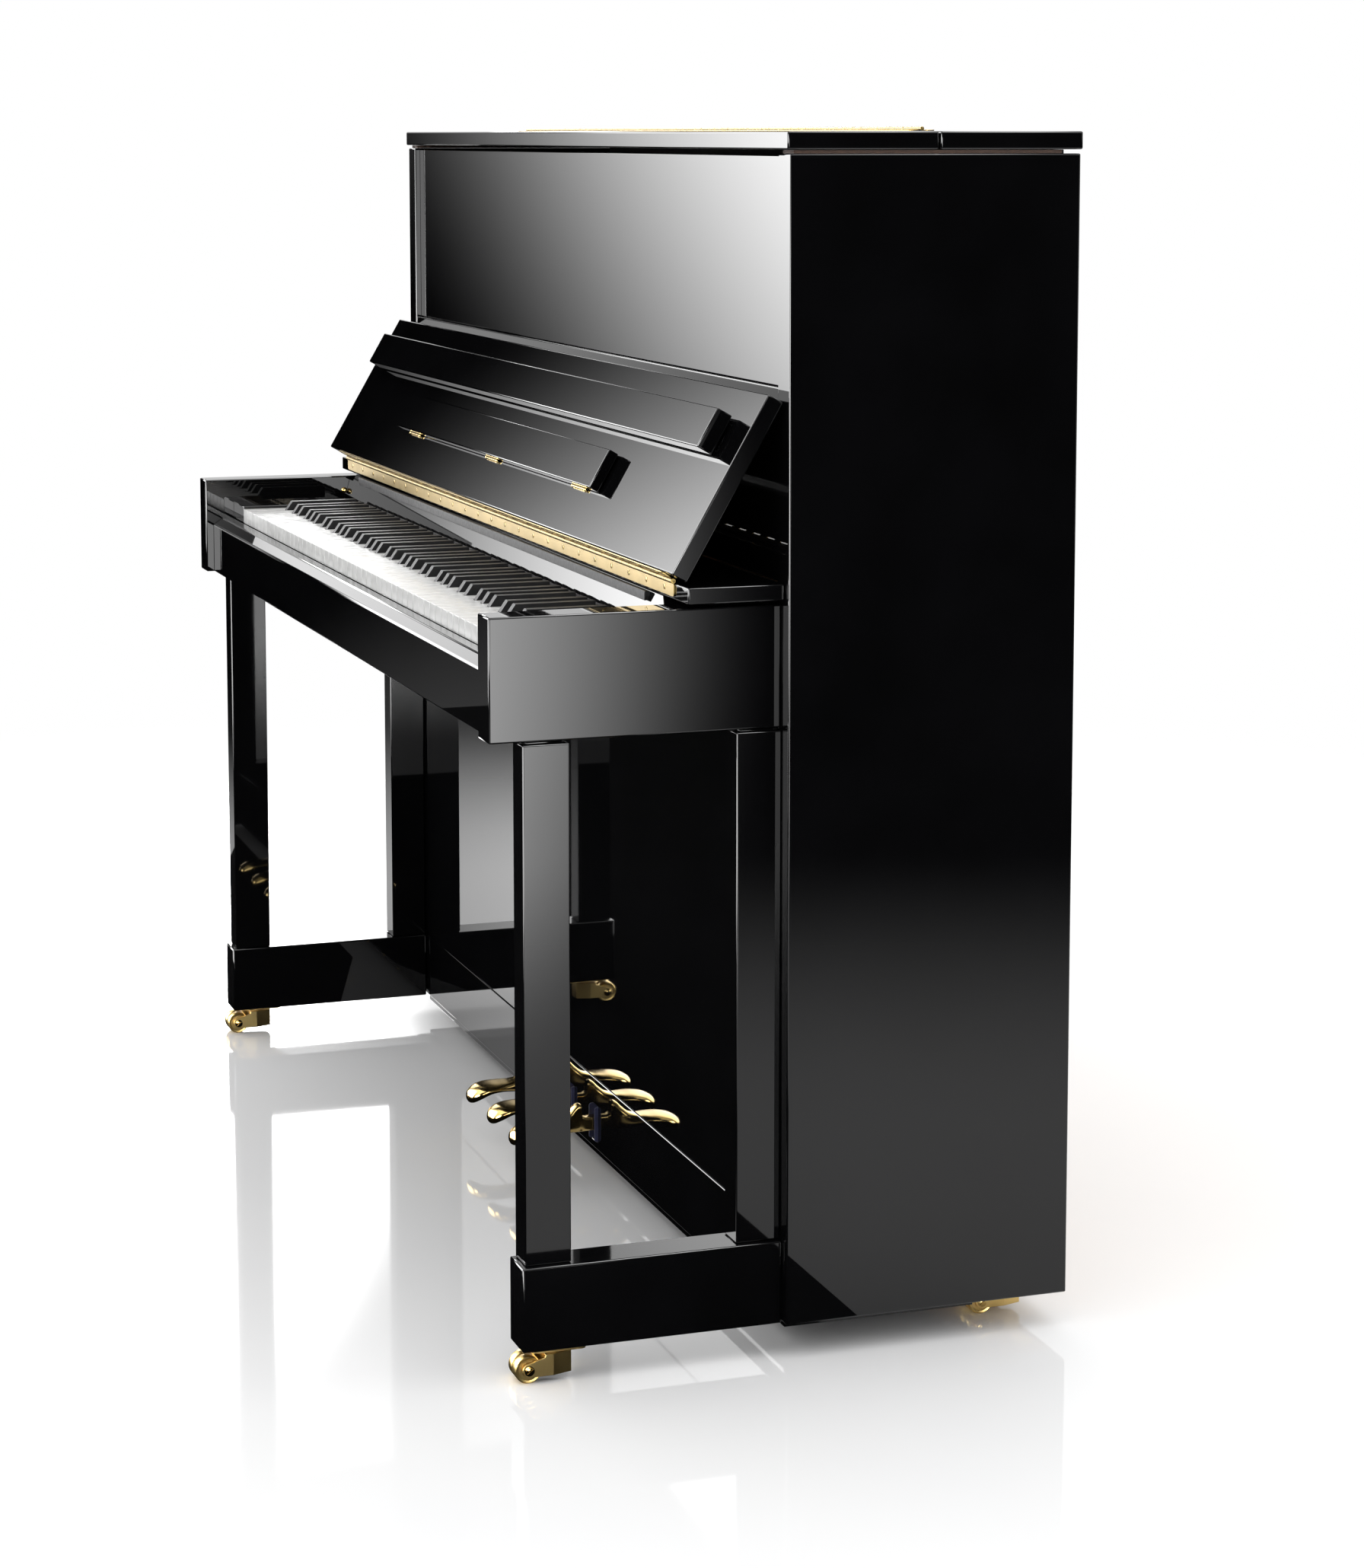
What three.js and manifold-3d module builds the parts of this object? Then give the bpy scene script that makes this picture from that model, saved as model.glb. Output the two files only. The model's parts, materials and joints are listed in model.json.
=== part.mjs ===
// Upright piano with a slender open leg frame, in millimetres.
// +X points to the treble end, +Y to the back, +Z up. The origin is on the floor, under the
// middle of the overall length and depth.
import * as THREE from "three";
import { mergeVertices } from "three/addons/utils/BufferGeometryUtils.js";
import Module from "manifold-3d";

const wasm = await Module();
wasm.setup();

// ---- Driving dimensions -------------------------------------------------------------------

const GAP = 0.4; // clearance between pieces that touch
const SLIDING_GAP = 1.5; // clearance beside pieces that move

// Case
const CASE_WIDTH = 1478; // over the side panels
const CASE_HEIGHT = 1210; // top edge of the side panels
const CASE_CLEARANCE = 36; // floor to the side panels
const SIDE_THICKNESS = 33;

// Lid
const LID_THICKNESS = 18;
const LID_GAP = 4; // shadow gap over the side panels
const LID_SIDE_OVERHANG = 1;
const LID_FRONT_OVERHANG = 3.3;
const LID_BACK_OVERHANG = 2;
const LID_FLAP_SHARE = 0.508; // share of the lid's depth that folds back
const LID_SPLIT = 1.8;
const LID_HINGE_RADIUS = 2.2;
const LID_HINGE_INSET = 45; // lid's end to the hinge's end
const LEAF_THICKNESS = 1.2;
const LEAF_WIDTH = 11.2;

// Arms and keyboard
const KEYBOARD_HEIGHT = 733.6; // floor to the top of the white keys
const ARM_THICKNESS = 39;
const ARM_INSET = 21; // case side to the arm's outer face
const ARM_BELOW_KEYS = 90.1; // white key top to the arm's underside
const ARM_HEIGHT = 123.5;
const WHITE_KEY_COUNT = 52;
const WHITE_KEY_PITCH = 23.5577; // 1225 mm over 52 keys
const WHITE_KEY_HEIGHT = 18.8;
const KEY_FRONT_SETBACK = 38; // arm front to key front
const KEY_SEEN = 158.3; // key front to the nameboard
const KEY_HEAD_LENGTH = 49.5; // wide part of a white key
const KEY_BACK_FROM_STRINGS = 49;
const KEY_PIVOT_FROM_NAMEBOARD = 47.7; // nameboard's back to the balance rail
const KEY_SLOT = 1.1; // gap between neighbouring keys
const BLACK_KEY_BACKSET = 1.5; // white key's head to the black key, which tips forwards
const BLACK_KEY_WIDTH = 10.5;
const BLACK_KEY_RISE = 11.4; // above the white keys
const BLACK_KEY_LENGTH = 95; // raised part
const BLACK_KEY_SLOPE = 8; // length of the sloped front
const SLIP_SETBACK = 10.2; // arm front to key slip
const SLIP_DEPTH = 26.2;
const SLIP_HEIGHT = 72;
const SLIP_SLOPE_DEPTH = 12.3; // sloping top front edge of the slip
const SLIP_SLOPE_DROP = 8.5;
const KEY_BED_THICKNESS = 40;

// Nameboard, shelf and fallboard
const NAMEBOARD_THICKNESS = 14;
const NAMEBOARD_OVER_KEYS = 6.4;
const NAMEBOARD_BEFORE_SHELF = 3.7; // shelf front to the nameboard's front at half height
const NAMEBOARD_LEAN = 15; // degrees back from upright
const SHELF_THICKNESS = 16.4;
const SHELF_OVER_ARM = 5; // arm top to the shelf's underside
const SHELF_SIDE_INSET = 10.5;
const FALLBOARD_LENGTH = 200;
const FALLBOARD_THICKNESS = 18;
const FALLBOARD_LEAN = 60; // degrees above level when open
const FALLBOARD_FROM_CASE = 2.2; // open board's back corner to the case front
const FALLBOARD_BACKSET = 1.2; // hinge axis to the board's back face
const FALLBOARD_HINGE_RADIUS = 2.8;
const FALLBOARD_HINGE_REACH = 1.8; // hinge axis in front of the shelf
const FALLBOARD_HINGE_RISE = 2.4; // hinge axis over the shelf's top
const LIP_WIDTH = 44;
const LIP_THICKNESS = 18;
const LIP_STANDOFF = 4;
const LIP_FROM_EDGE = 31; // fallboard's free edge to the lip
const SHELF_BAR_LENGTH = 825;
const SHELF_BAR_WIDTH = 46;
const SHELF_BAR_THICKNESS = 12;
const SHELF_BAR_BELOW_LIP = 25;
const SHELF_BAR_STANDOFF = 2.5;

// Front panels
const PANEL_THICKNESS = 18;
const PANEL_SETBACK = 7; // side panel front to the upper panel's front
const SILL_OVER_FALLBOARD = 4.6; // open board's top corner to the sill's top
const SILL_HEIGHT = 14;
const LOWER_PANEL_PROUD = 1.5; // lower panel in front of this plane of the sides
const RAIL_TOP = 120.5;

// Legs and toe blocks
const LEG_WIDTH = 35;
const FRONT_LEG_DEPTH = 47.4;
const REAR_LEG_DEPTH = 46.6;
const FRONT_LEG_SETBACK = 33.3; // arm front to the front leg
const LEG_NECK = 2.4; // shadow gap at the leg's top
const LEG_NECK_INSET = 5;
const TOE_WIDTH = 45.5;
const TOE_HEIGHT = 85.7;
const TOE_BOTTOM = 34.3;
const TOE_SETBACK = 28.3; // arm front to the toe block

// Pedals
const PEDAL_PITCH = 94;
const PEDAL_LENGTH = 230; // pivot to tip
const PEDAL_TIP_FROM_CASE = 105; // case front to the pedal tips
const PEDAL_TOP = 73;
const PEDAL_WIDTH = 44;
const PEDAL_STEM_WIDTH = 14;
const PEDAL_SLOT_WIDTH = 23;
const PEDAL_SLOT_BOTTOM = 45;
const PEDAL_SLOT_TOP = 89;

// Casters
const WHEEL_RADIUS = 14;
const WHEEL_PAIR_WIDTH = 26;
const WHEEL_SEGMENTS = 20;
const WHEEL_GROOVE = 2;
const AXLE_RADIUS = 3.2;
const FORK_PLATE = 2.5;
const CASTER_TRAIL = 30;
const CASTER_LENGTH = 45; // axle to the back of the fork
const FRONT_CASTER_FROM_ARM_FRONT = 66.5; // to the swivel axis
const FRONT_CASTER_INSET = 33; // case side to the wheel pair's middle
const REAR_CASTER_INSET = 74;
const REAR_CASTER_FROM_BACK = 38.5; // side panels' back edge to the swivel axis
const BOTTOM_BOARD_THICKNESS = 14;

// Action, from the upper panel back to the strings
const ACTION_CLEARANCE = 12; // behind the upper panel
const ACTION_DEPTH = 34; // brackets
const HAMMER_BEHIND_ACTION = 20; // brackets to the hammers' pivot
const HAMMER_REACH = 65; // hammers' pivot to the strings
const HAMMER_LENGTH = 150;
const HAMMER_WIDTH = 8;

// Back frame and sounding parts
const POST_COUNT = 7;
const POST_WIDTH = 70;
const POST_DEPTH = 80;
const BEAM_HEIGHT = 110;
const PIN_BLOCK_DEPTH = 43;
const SOUNDBOARD_THICKNESS = 8;
const SOUNDBOARD_FROM_POSTS = 24;
const RIB_COUNT = 8;
const RIB_SIZE = 12;
const BRIDGE_HEIGHT = 14;
const PLATE_THICKNESS = 12;
const PLATE_FROM_POSTS = 56;
const PLATE_WINDOWS = 5;
const PLATE_STRUT = 36;
const STRING_FROM_POSTS = 74;
const STRING_RADIUS = 1.4;
const NOTE_COUNT = 88;
const DAMPER_COUNT = 66;
const NOTE_PITCH = 13.9;

// ---- Stations worked out from them --------------------------------------------------------

// Stack in front of the case: the open fallboard sets the shelf, then come nameboard and keys.
const LEAN = THREE.MathUtils.degToRad(FALLBOARD_LEAN);
const FALLBOARD_FOOT = FALLBOARD_HINGE_RADIUS + GAP; // hinge axis to the board's lower edge
const FALLBOARD_FACE = FALLBOARD_BACKSET + FALLBOARD_THICKNESS;
const FALLBOARD_TIP = FALLBOARD_FOOT + FALLBOARD_LENGTH;
const FALLBOARD_SPAN = FALLBOARD_TIP * Math.cos(LEAN) - FALLBOARD_BACKSET * Math.sin(LEAN);
const SHELF_DEPTH = FALLBOARD_SPAN + FALLBOARD_FROM_CASE - FALLBOARD_HINGE_REACH;
const ARM_REACH = SHELF_DEPTH + NAMEBOARD_BEFORE_SHELF + KEY_SEEN + KEY_FRONT_SETBACK;

// Stack inside the case: upper panel, action, strings, plate and posts.
const ACTION_START = PANEL_SETBACK + PANEL_THICKNESS + ACTION_CLEARANCE;
const STRINGS_IN = ACTION_START + ACTION_DEPTH + HAMMER_BEHIND_ACTION + HAMMER_REACH;
const CASE_DEPTH = STRINGS_IN + STRING_FROM_POSTS + POST_DEPTH;

const DEPTH = ARM_REACH + CASE_DEPTH + LID_BACK_OVERHANG;
const ARM_FRONT = -DEPTH / 2;
const CASE_FRONT = ARM_FRONT + ARM_REACH;
const CASE_BACK = CASE_FRONT + CASE_DEPTH;
const SIDE_OUTER = CASE_WIDTH / 2;
const SIDE_INNER = SIDE_OUTER - SIDE_THICKNESS;
const INSIDE = SIDE_INNER - GAP; // half length of what stands between the sides
const ARM_OUTER = SIDE_OUTER - ARM_INSET;
const ARM_INNER = ARM_OUTER - ARM_THICKNESS;
const BETWEEN_ARMS = ARM_INNER - GAP;
const ARM_BOTTOM = KEYBOARD_HEIGHT - ARM_BELOW_KEYS;
const ARM_TOP = ARM_BOTTOM + ARM_HEIGHT;
const ARM_BACK = CASE_FRONT - GAP;
const LID_BOTTOM = CASE_HEIGHT + LID_GAP;
const LID_TOP = LID_BOTTOM + LID_THICKNESS;
const SHELF_FRONT = CASE_FRONT - SHELF_DEPTH;
const SHELF_BOTTOM = ARM_TOP + SHELF_OVER_ARM;
const SHELF_TOP = SHELF_BOTTOM + SHELF_THICKNESS;
const FALLBOARD_AXIS_Y = SHELF_FRONT - FALLBOARD_HINGE_REACH;
const FALLBOARD_AXIS_Z = SHELF_TOP + FALLBOARD_HINGE_RISE;
const FALLBOARD_RISE = FALLBOARD_TIP * Math.sin(LEAN) + FALLBOARD_FACE * Math.cos(LEAN);
const SILL_TOP = FALLBOARD_AXIS_Z + FALLBOARD_RISE + SILL_OVER_FALLBOARD;
const NAMEBOARD_FRONT = SHELF_FRONT - NAMEBOARD_BEFORE_SHELF;
const NAMEBOARD_BOTTOM = KEYBOARD_HEIGHT + NAMEBOARD_OVER_KEYS;
const KEY_PIVOT = NAMEBOARD_FRONT + NAMEBOARD_THICKNESS + KEY_PIVOT_FROM_NAMEBOARD;
const STRINGS_Y = CASE_FRONT + STRINGS_IN;
const KEY_FRONT = ARM_FRONT + KEY_FRONT_SETBACK;
const KEY_BACK = STRINGS_Y - KEY_BACK_FROM_STRINGS;
const KEY_BED_TOP = ARM_BOTTOM + 1.5 + KEY_BED_THICKNESS;
const KEYS_HALF = (WHITE_KEY_COUNT * WHITE_KEY_PITCH) / 2;
const WHITE_KEY_BOTTOM = KEYBOARD_HEIGHT - WHITE_KEY_HEIGHT;
const BLACK_KEY_BOTTOM = WHITE_KEY_BOTTOM - 2.8;
const LOWER_FRONT = CASE_FRONT + LOWER_PANEL_PROUD;
const POSTS_FRONT = CASE_BACK - POST_DEPTH;
const PLATE_FRONT = POSTS_FRONT - PLATE_FROM_POSTS;
const SOUNDBOARD_Y = POSTS_FRONT - SOUNDBOARD_FROM_POSTS;
const SOUND_HALF = INSIDE - 6; // soundboard and plate stop short of the sides
const MID_C = 23; // white keys below the middle C

// ---- Finishes -----------------------------------------------------------------------------

function finish(color, roughness, metalness) {
  return new THREE.MeshStandardMaterial({ color, roughness, metalness });
}

const lacquer = finish(0x0a0a0b, 0.06, 0);
const brass = finish(0xd9a441, 0.18, 1);
const ivory = finish(0xf2f2f0, 0.2, 0);
const ebony = finish(0x141416, 0.35, 0);
const spruce = finish(0xd8b27a, 0.55, 0);
const beech = finish(0xb98a58, 0.6, 0);
const castIron = finish(0xa8884a, 0.4, 0.6);
const steel = finish(0xb9bcc0, 0.3, 1);
const felt = finish(0xe9e4da, 0.95, 0);

// ---- Geometry helpers ---------------------------------------------------------------------

// A closed geometry as a solid that can be joined and cut.
function solid(geometry) {
  const bare = geometry.clone();
  bare.deleteAttribute("normal");
  bare.deleteAttribute("uv");
  const merged = mergeVertices(bare, 1e-4);
  return new wasm.Manifold(
    new wasm.Mesh({
      numProp: 3,
      vertProperties: new Float32Array(merged.attributes.position.array),
      triVerts: new Uint32Array(merged.index.array),
    }),
  );
}

function geometryOf(body) {
  const mesh = body.getMesh();
  const geometry = new THREE.BufferGeometry();
  geometry.setAttribute("position", new THREE.BufferAttribute(mesh.vertProperties, 3));
  geometry.setIndex(new THREE.BufferAttribute(mesh.triVerts, 1));
  return geometry.toNonIndexed();
}

function join(...geometries) {
  return geometryOf(geometries.map(solid).reduce((whole, piece) => whole.add(piece)));
}

function cut(geometry, ...tools) {
  return geometryOf(tools.map(solid).reduce((rest, tool) => rest.subtract(tool), solid(geometry)));
}

function common(a, b) {
  return geometryOf(solid(a).intersect(solid(b)));
}

// A box from its low and high corners.
function block(x0, x1, y0, y1, z0, z1) {
  const box = new THREE.BoxGeometry(x1 - x0, y1 - y0, z1 - z0);
  return box.translate((x0 + x1) / 2, (y0 + y1) / 2, (z0 + z1) / 2);
}

function shapeOf(points) {
  return new THREE.Shape(points.map(([a, b]) => new THREE.Vector2(a, b)));
}

// An outline in Y and Z, drawn out along X.
function prismX(shape, x0, x1) {
  const prism = new THREE.ExtrudeGeometry(shape, {
    depth: x1 - x0,
    bevelEnabled: false,
    curveSegments: 6,
  });
  const turn = new THREE.Matrix4().makeBasis(
    new THREE.Vector3(0, 1, 0),
    new THREE.Vector3(0, 0, 1),
    new THREE.Vector3(1, 0, 0),
  );
  return prism.applyMatrix4(turn).translate(x0, 0, 0);
}

// An outline in X and Y, drawn out along Z.
function prismZ(shape, z0, z1) {
  const prism = new THREE.ExtrudeGeometry(shape, {
    depth: z1 - z0,
    bevelEnabled: false,
    curveSegments: 6,
  });
  return prism.translate(0, 0, z0);
}

// An outline in X and Z, drawn out along Y.
function prismY(shape, y0, y1) {
  return prismZ(shape, -y1, -y0).rotateX(Math.PI / 2);
}

// A rod along X.
function rodX(radius, x0, x1, y, z, sides = 12) {
  const rod = new THREE.CylinderGeometry(radius, radius, x1 - x0, sides);
  return rod.rotateZ(Math.PI / 2).translate((x0 + x1) / 2, y, z);
}

const piano = new THREE.Group();

function part(name, geometry, material, group = piano) {
  const mesh = new THREE.Mesh(geometry, material);
  mesh.name = name;
  group.add(mesh);
}

// ---- Case ---------------------------------------------------------------------------------

function buildSides() {
  for (const [end, x0] of [["left", -SIDE_OUTER], ["right", SIDE_INNER]]) {
    const panel = block(x0, x0 + SIDE_THICKNESS, CASE_FRONT, CASE_BACK, CASE_CLEARANCE, CASE_HEIGHT);
    part(`side_panel_${end}`, panel, lacquer);
  }
}

function buildLid() {
  const half = SIDE_OUTER + LID_SIDE_OVERHANG;
  const front = CASE_FRONT - LID_FRONT_OVERHANG;
  const back = CASE_BACK + LID_BACK_OVERHANG;
  const split = front + (back - front) * LID_FLAP_SHARE;
  const leafHalf = half - LID_HINGE_INSET;
  const axisZ = LID_TOP + LID_HINGE_RADIUS + GAP;
  const leafBottom = LID_TOP + GAP * 0.75;
  const leafTop = leafBottom + LEAF_THICKNESS;
  const flap = block(-half, half, front, split - LID_SPLIT / 2, LID_BOTTOM, LID_TOP);
  const fixed = block(-half, half, split + LID_SPLIT / 2, back, LID_BOTTOM, LID_TOP);
  const reach = LID_HINGE_RADIUS + GAP;
  const frontLeaf = block(
    -leafHalf, leafHalf, split - reach - LEAF_WIDTH, split - reach, leafBottom, leafTop,
  );
  const rearLeaf = block(
    -leafHalf, leafHalf, split, split + reach + LEAF_WIDTH, leafBottom, leafTop,
  );
  part("lid_front", flap, lacquer);
  part("lid_rear", fixed, lacquer);
  part("lid_hinge_leaf", frontLeaf, brass);
  part("lid_hinge", join(rearLeaf, rodX(LID_HINGE_RADIUS, -leafHalf, leafHalf, split, axisZ)), brass);
}

function buildUpperFront() {
  const front = CASE_FRONT + PANEL_SETBACK;
  const back = front + PANEL_THICKNESS;
  const sillBottom = SILL_TOP - SILL_HEIGHT;
  part("upper_panel", block(-INSIDE, INSIDE, front, back, SILL_TOP + GAP, CASE_HEIGHT - 2), lacquer);
  part("upper_sill", block(-INSIDE, INSIDE, CASE_FRONT + 1, back, sillBottom, SILL_TOP), lacquer);
  const backing = block(
    -INSIDE, INSIDE, CASE_FRONT + 1, CASE_FRONT + 1 + PANEL_THICKNESS, SHELF_TOP + GAP, sillBottom - GAP,
  );
  part("fallboard_backing", backing, lacquer);
}

function buildArms() {
  for (const [end, side] of [["left", -1], ["right", 1]]) {
    const x0 = side < 0 ? -ARM_OUTER : ARM_INNER;
    const arm = block(x0, x0 + ARM_THICKNESS, ARM_FRONT, ARM_BACK, ARM_BOTTOM, ARM_TOP);
    part(`arm_${end}`, arm, lacquer);
  }
}

function buildLegs() {
  const legOuter = ARM_OUTER + 2;
  const toeOuter = ARM_OUTER + 9;
  const bottom = TOE_BOTTOM + TOE_HEIGHT + GAP;
  const shoulder = ARM_BOTTOM - GAP - LEG_NECK;
  const places = [
    ["front", ARM_FRONT + FRONT_LEG_SETBACK, FRONT_LEG_DEPTH],
    ["rear", ARM_BACK - REAR_LEG_DEPTH, REAR_LEG_DEPTH],
  ];
  for (const [end, side] of [["left", -1], ["right", 1]]) {
    const x0 = side < 0 ? -legOuter : legOuter - LEG_WIDTH;
    const x1 = x0 + LEG_WIDTH;
    for (const [where, y0, depth] of places) {
      const y1 = y0 + depth;
      const shaft = block(x0, x1, y0, y1, bottom, shoulder);
      const inset = LEG_NECK_INSET;
      const neck = block(
        x0 + inset, x1 - inset, y0 + inset, y1 - inset, shoulder - 1, ARM_BOTTOM - GAP,
      );
      part(`leg_${where}_${end}`, join(shaft, neck), lacquer);
    }
    const t0 = side < 0 ? -toeOuter : toeOuter - TOE_WIDTH;
    const toe = block(
      t0, t0 + TOE_WIDTH, ARM_FRONT + TOE_SETBACK, ARM_BACK, TOE_BOTTOM, TOE_BOTTOM + TOE_HEIGHT,
    );
    part(`toe_block_${end}`, toe, lacquer);
  }
}

function buildLowerFront() {
  const back = LOWER_FRONT + PANEL_THICKNESS;
  part("lower_panel", block(-INSIDE, INSIDE, LOWER_FRONT, back, RAIL_TOP + 1, ARM_BOTTOM), lacquer);
  const slots = [-1, 0, 1].map((n) => {
    const x = n * PEDAL_PITCH;
    const half = PEDAL_SLOT_WIDTH / 2;
    return block(x - half, x + half, LOWER_FRONT - 5, back + 5, PEDAL_SLOT_BOTTOM, PEDAL_SLOT_TOP);
  });
  const rail = block(-INSIDE, INSIDE, LOWER_FRONT, back, CASE_CLEARANCE, RAIL_TOP);
  part("bottom_rail", cut(rail, ...slots), lacquer);
}

function buildBottomBoard() {
  const top = CASE_CLEARANCE - GAP;
  const bottom = top - BOTTOM_BOARD_THICKNESS;
  const back = CASE_BACK - REAR_CASTER_FROM_BACK - CASTER_TRAIL - WHEEL_RADIUS - 8;
  const board = block(-INSIDE, INSIDE, LOWER_FRONT + 9, back, bottom, top);
  const pivotY = CASE_FRONT - PEDAL_TIP_FROM_CASE + PEDAL_LENGTH;
  const bearings = [-1, 0, 1].map((n) => {
    const x = n * PEDAL_PITCH;
    return block(x - 16, x + 16, pivotY - 12, pivotY + 12, top - 1, PEDAL_TOP - 14);
  });
  part("bottom_board", join(board, ...bearings), lacquer);
}

// ---- Keyboard -----------------------------------------------------------------------------

function buildKeyBed() {
  const bottom = ARM_BOTTOM + 1.5;
  const front = ARM_FRONT + SLIP_SETBACK + SLIP_DEPTH + SLIDING_GAP;
  const back = KEY_BACK + 28;
  const bed = block(-BETWEEN_ARMS, BETWEEN_ARMS, front, back, bottom, KEY_BED_TOP);
  const rail = (y, depth, top) =>
    block(-KEYS_HALF, KEYS_HALF, y - depth / 2, y + depth / 2, KEY_BED_TOP - 1, top);
  const frontRail = rail(KEY_FRONT + 20, 26, BLACK_KEY_BOTTOM - 14);
  const balanceRail = rail(KEY_PIVOT, 10, BLACK_KEY_BOTTOM - 1);
  const backRail = rail(KEY_BACK - 16, 20, BLACK_KEY_BOTTOM - 1);
  part("key_bed", join(bed, frontRail, balanceRail, backRail), beech);
}

function buildKeySurround() {
  const slipFront = ARM_FRONT + SLIP_SETBACK;
  const slipTop = ARM_BOTTOM + SLIP_HEIGHT;
  const slip = [
    [slipFront, ARM_BOTTOM],
    [slipFront + SLIP_DEPTH, ARM_BOTTOM],
    [slipFront + SLIP_DEPTH, slipTop],
    [slipFront + SLIP_SLOPE_DEPTH, slipTop],
    [slipFront, slipTop - SLIP_SLOPE_DROP],
  ];
  part("key_slip", prismX(shapeOf(slip), -BETWEEN_ARMS, BETWEEN_ARMS), lacquer);
  const inner = KEYS_HALF + SLIDING_GAP / 2;
  for (const [end, x0] of [["left", -BETWEEN_ARMS], ["right", inner]]) {
    const cheek = block(
      x0, x0 + BETWEEN_ARMS - inner, KEY_FRONT, KEY_PIVOT, KEY_BED_TOP + GAP, KEYBOARD_HEIGHT + 3.4,
    );
    part(`key_block_${end}`, cheek, lacquer);
  }
  const top = SHELF_BOTTOM - GAP;
  const notch = 20;
  const outline = [
    [-BETWEEN_ARMS, NAMEBOARD_BOTTOM],
    [BETWEEN_ARMS, NAMEBOARD_BOTTOM],
    [BETWEEN_ARMS, top - 9],
    [BETWEEN_ARMS - notch, top - 9],
    [BETWEEN_ARMS - notch - 9, top],
    [-BETWEEN_ARMS + notch + 9, top],
    [-BETWEEN_ARMS + notch, top - 9],
    [-BETWEEN_ARMS, top - 9],
  ];
  const lean = ((top - NAMEBOARD_BOTTOM) / 2) * Math.tan(THREE.MathUtils.degToRad(NAMEBOARD_LEAN));
  const front = NAMEBOARD_FRONT;
  const back = front + NAMEBOARD_THICKNESS;
  const profile = [
    [front - lean, NAMEBOARD_BOTTOM],
    [back - lean, NAMEBOARD_BOTTOM],
    [back + lean, top],
    [front + lean, top],
  ];
  const slanted = prismX(shapeOf(profile), -BETWEEN_ARMS - 1, BETWEEN_ARMS + 1);
  part("nameboard", common(prismY(shapeOf(outline), front - 10, back + 10), slanted), lacquer);
}

// Where a black key's middle lies, in white-key widths from the C of its octave.
const THIRD = 3 / 5;
const FOURTH = 4 / 7;
const BLACK_MIDDLES = [
  1.5 * THIRD,
  3.5 * THIRD,
  3 + 1.5 * FOURTH,
  3 + 3.5 * FOURTH,
  3 + 5.5 * FOURTH,
];
const BLACK_AFTER = [0, 1, 3, 4, 5]; // the white key of the octave that each black key follows
const NOTE_LETTERS = ["C", "D", "E", "F", "G", "A", "B"];

// White key n of the keyboard: 0 is the low A.
function octaveOf(n) {
  return Math.floor((n + 5) / 7);
}

function degreeOf(n) {
  return (n + 5) % 7;
}

function whiteLeft(n) {
  return -KEYS_HALF + n * WHITE_KEY_PITCH;
}

// The middle of the black key that follows white key n, or null where there is none.
function blackMiddle(n) {
  const index = BLACK_AFTER.indexOf(degreeOf(n));
  if (index < 0 || n < 0 || n >= WHITE_KEY_COUNT - 1) return null;
  const c = whiteLeft(n) - degreeOf(n) * WHITE_KEY_PITCH;
  return c + BLACK_MIDDLES[index] * WHITE_KEY_PITCH;
}

function whiteKey(n) {
  const left = whiteLeft(n) + KEY_SLOT / 2;
  const right = whiteLeft(n + 1) - KEY_SLOT / 2;
  const side = BLACK_KEY_WIDTH / 2 + KEY_SLOT;
  const lower = blackMiddle(n - 1);
  const upper = blackMiddle(n);
  const shankLeft = lower === null ? left : lower + side;
  const shankRight = upper === null ? right : upper - side;
  const head = KEY_FRONT + KEY_HEAD_LENGTH;
  const outline = [[left, KEY_FRONT], [right, KEY_FRONT]];
  if (shankRight < right) outline.push([right, head], [shankRight, head]);
  outline.push([shankRight, KEY_BACK], [shankLeft, KEY_BACK]);
  if (shankLeft > left) outline.push([shankLeft, head], [left, head]);
  return prismZ(shapeOf(outline), WHITE_KEY_BOTTOM, KEYBOARD_HEIGHT);
}

function blackKey(n) {
  const middle = blackMiddle(n);
  const front = KEY_FRONT + KEY_HEAD_LENGTH + BLACK_KEY_BACKSET;
  const top = KEYBOARD_HEIGHT + BLACK_KEY_RISE;
  const raised = front + BLACK_KEY_LENGTH;
  const stick = KEYBOARD_HEIGHT - 4;
  const profile = [
    [front, BLACK_KEY_BOTTOM],
    [KEY_BACK, BLACK_KEY_BOTTOM],
    [KEY_BACK, stick],
    [raised, stick],
    [raised, top],
    [front + BLACK_KEY_SLOPE, top],
    [front, KEYBOARD_HEIGHT],
  ];
  return prismX(shapeOf(profile), middle - BLACK_KEY_WIDTH / 2, middle + BLACK_KEY_WIDTH / 2);
}

// The bar that ties a bank of keys together, hidden behind the nameboard.
function webBar(from, to, z0, z1) {
  const y = NAMEBOARD_FRONT + NAMEBOARD_THICKNESS + 4;
  return block(from, to, y, y + 20, z0, z1);
}

function whiteBank(from, to) {
  const keys = [];
  for (let n = from; n < to; n++) keys.push(whiteKey(n));
  const bar = webBar(whiteLeft(from) + 3, whiteLeft(to) - 3, KEYBOARD_HEIGHT - 0.8, NAMEBOARD_BOTTOM - 2);
  return join(bar, ...keys);
}

function blackBank(from, to) {
  const places = [];
  for (let n = from; n < to; n++) if (blackMiddle(n) !== null) places.push(n);
  const first = blackMiddle(places[0]);
  const last = blackMiddle(places[places.length - 1]);
  const bar = webBar(first, last, BLACK_KEY_BOTTOM - 8, BLACK_KEY_BOTTOM + 0.5);
  return join(bar, ...places.map(blackKey));
}

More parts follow.
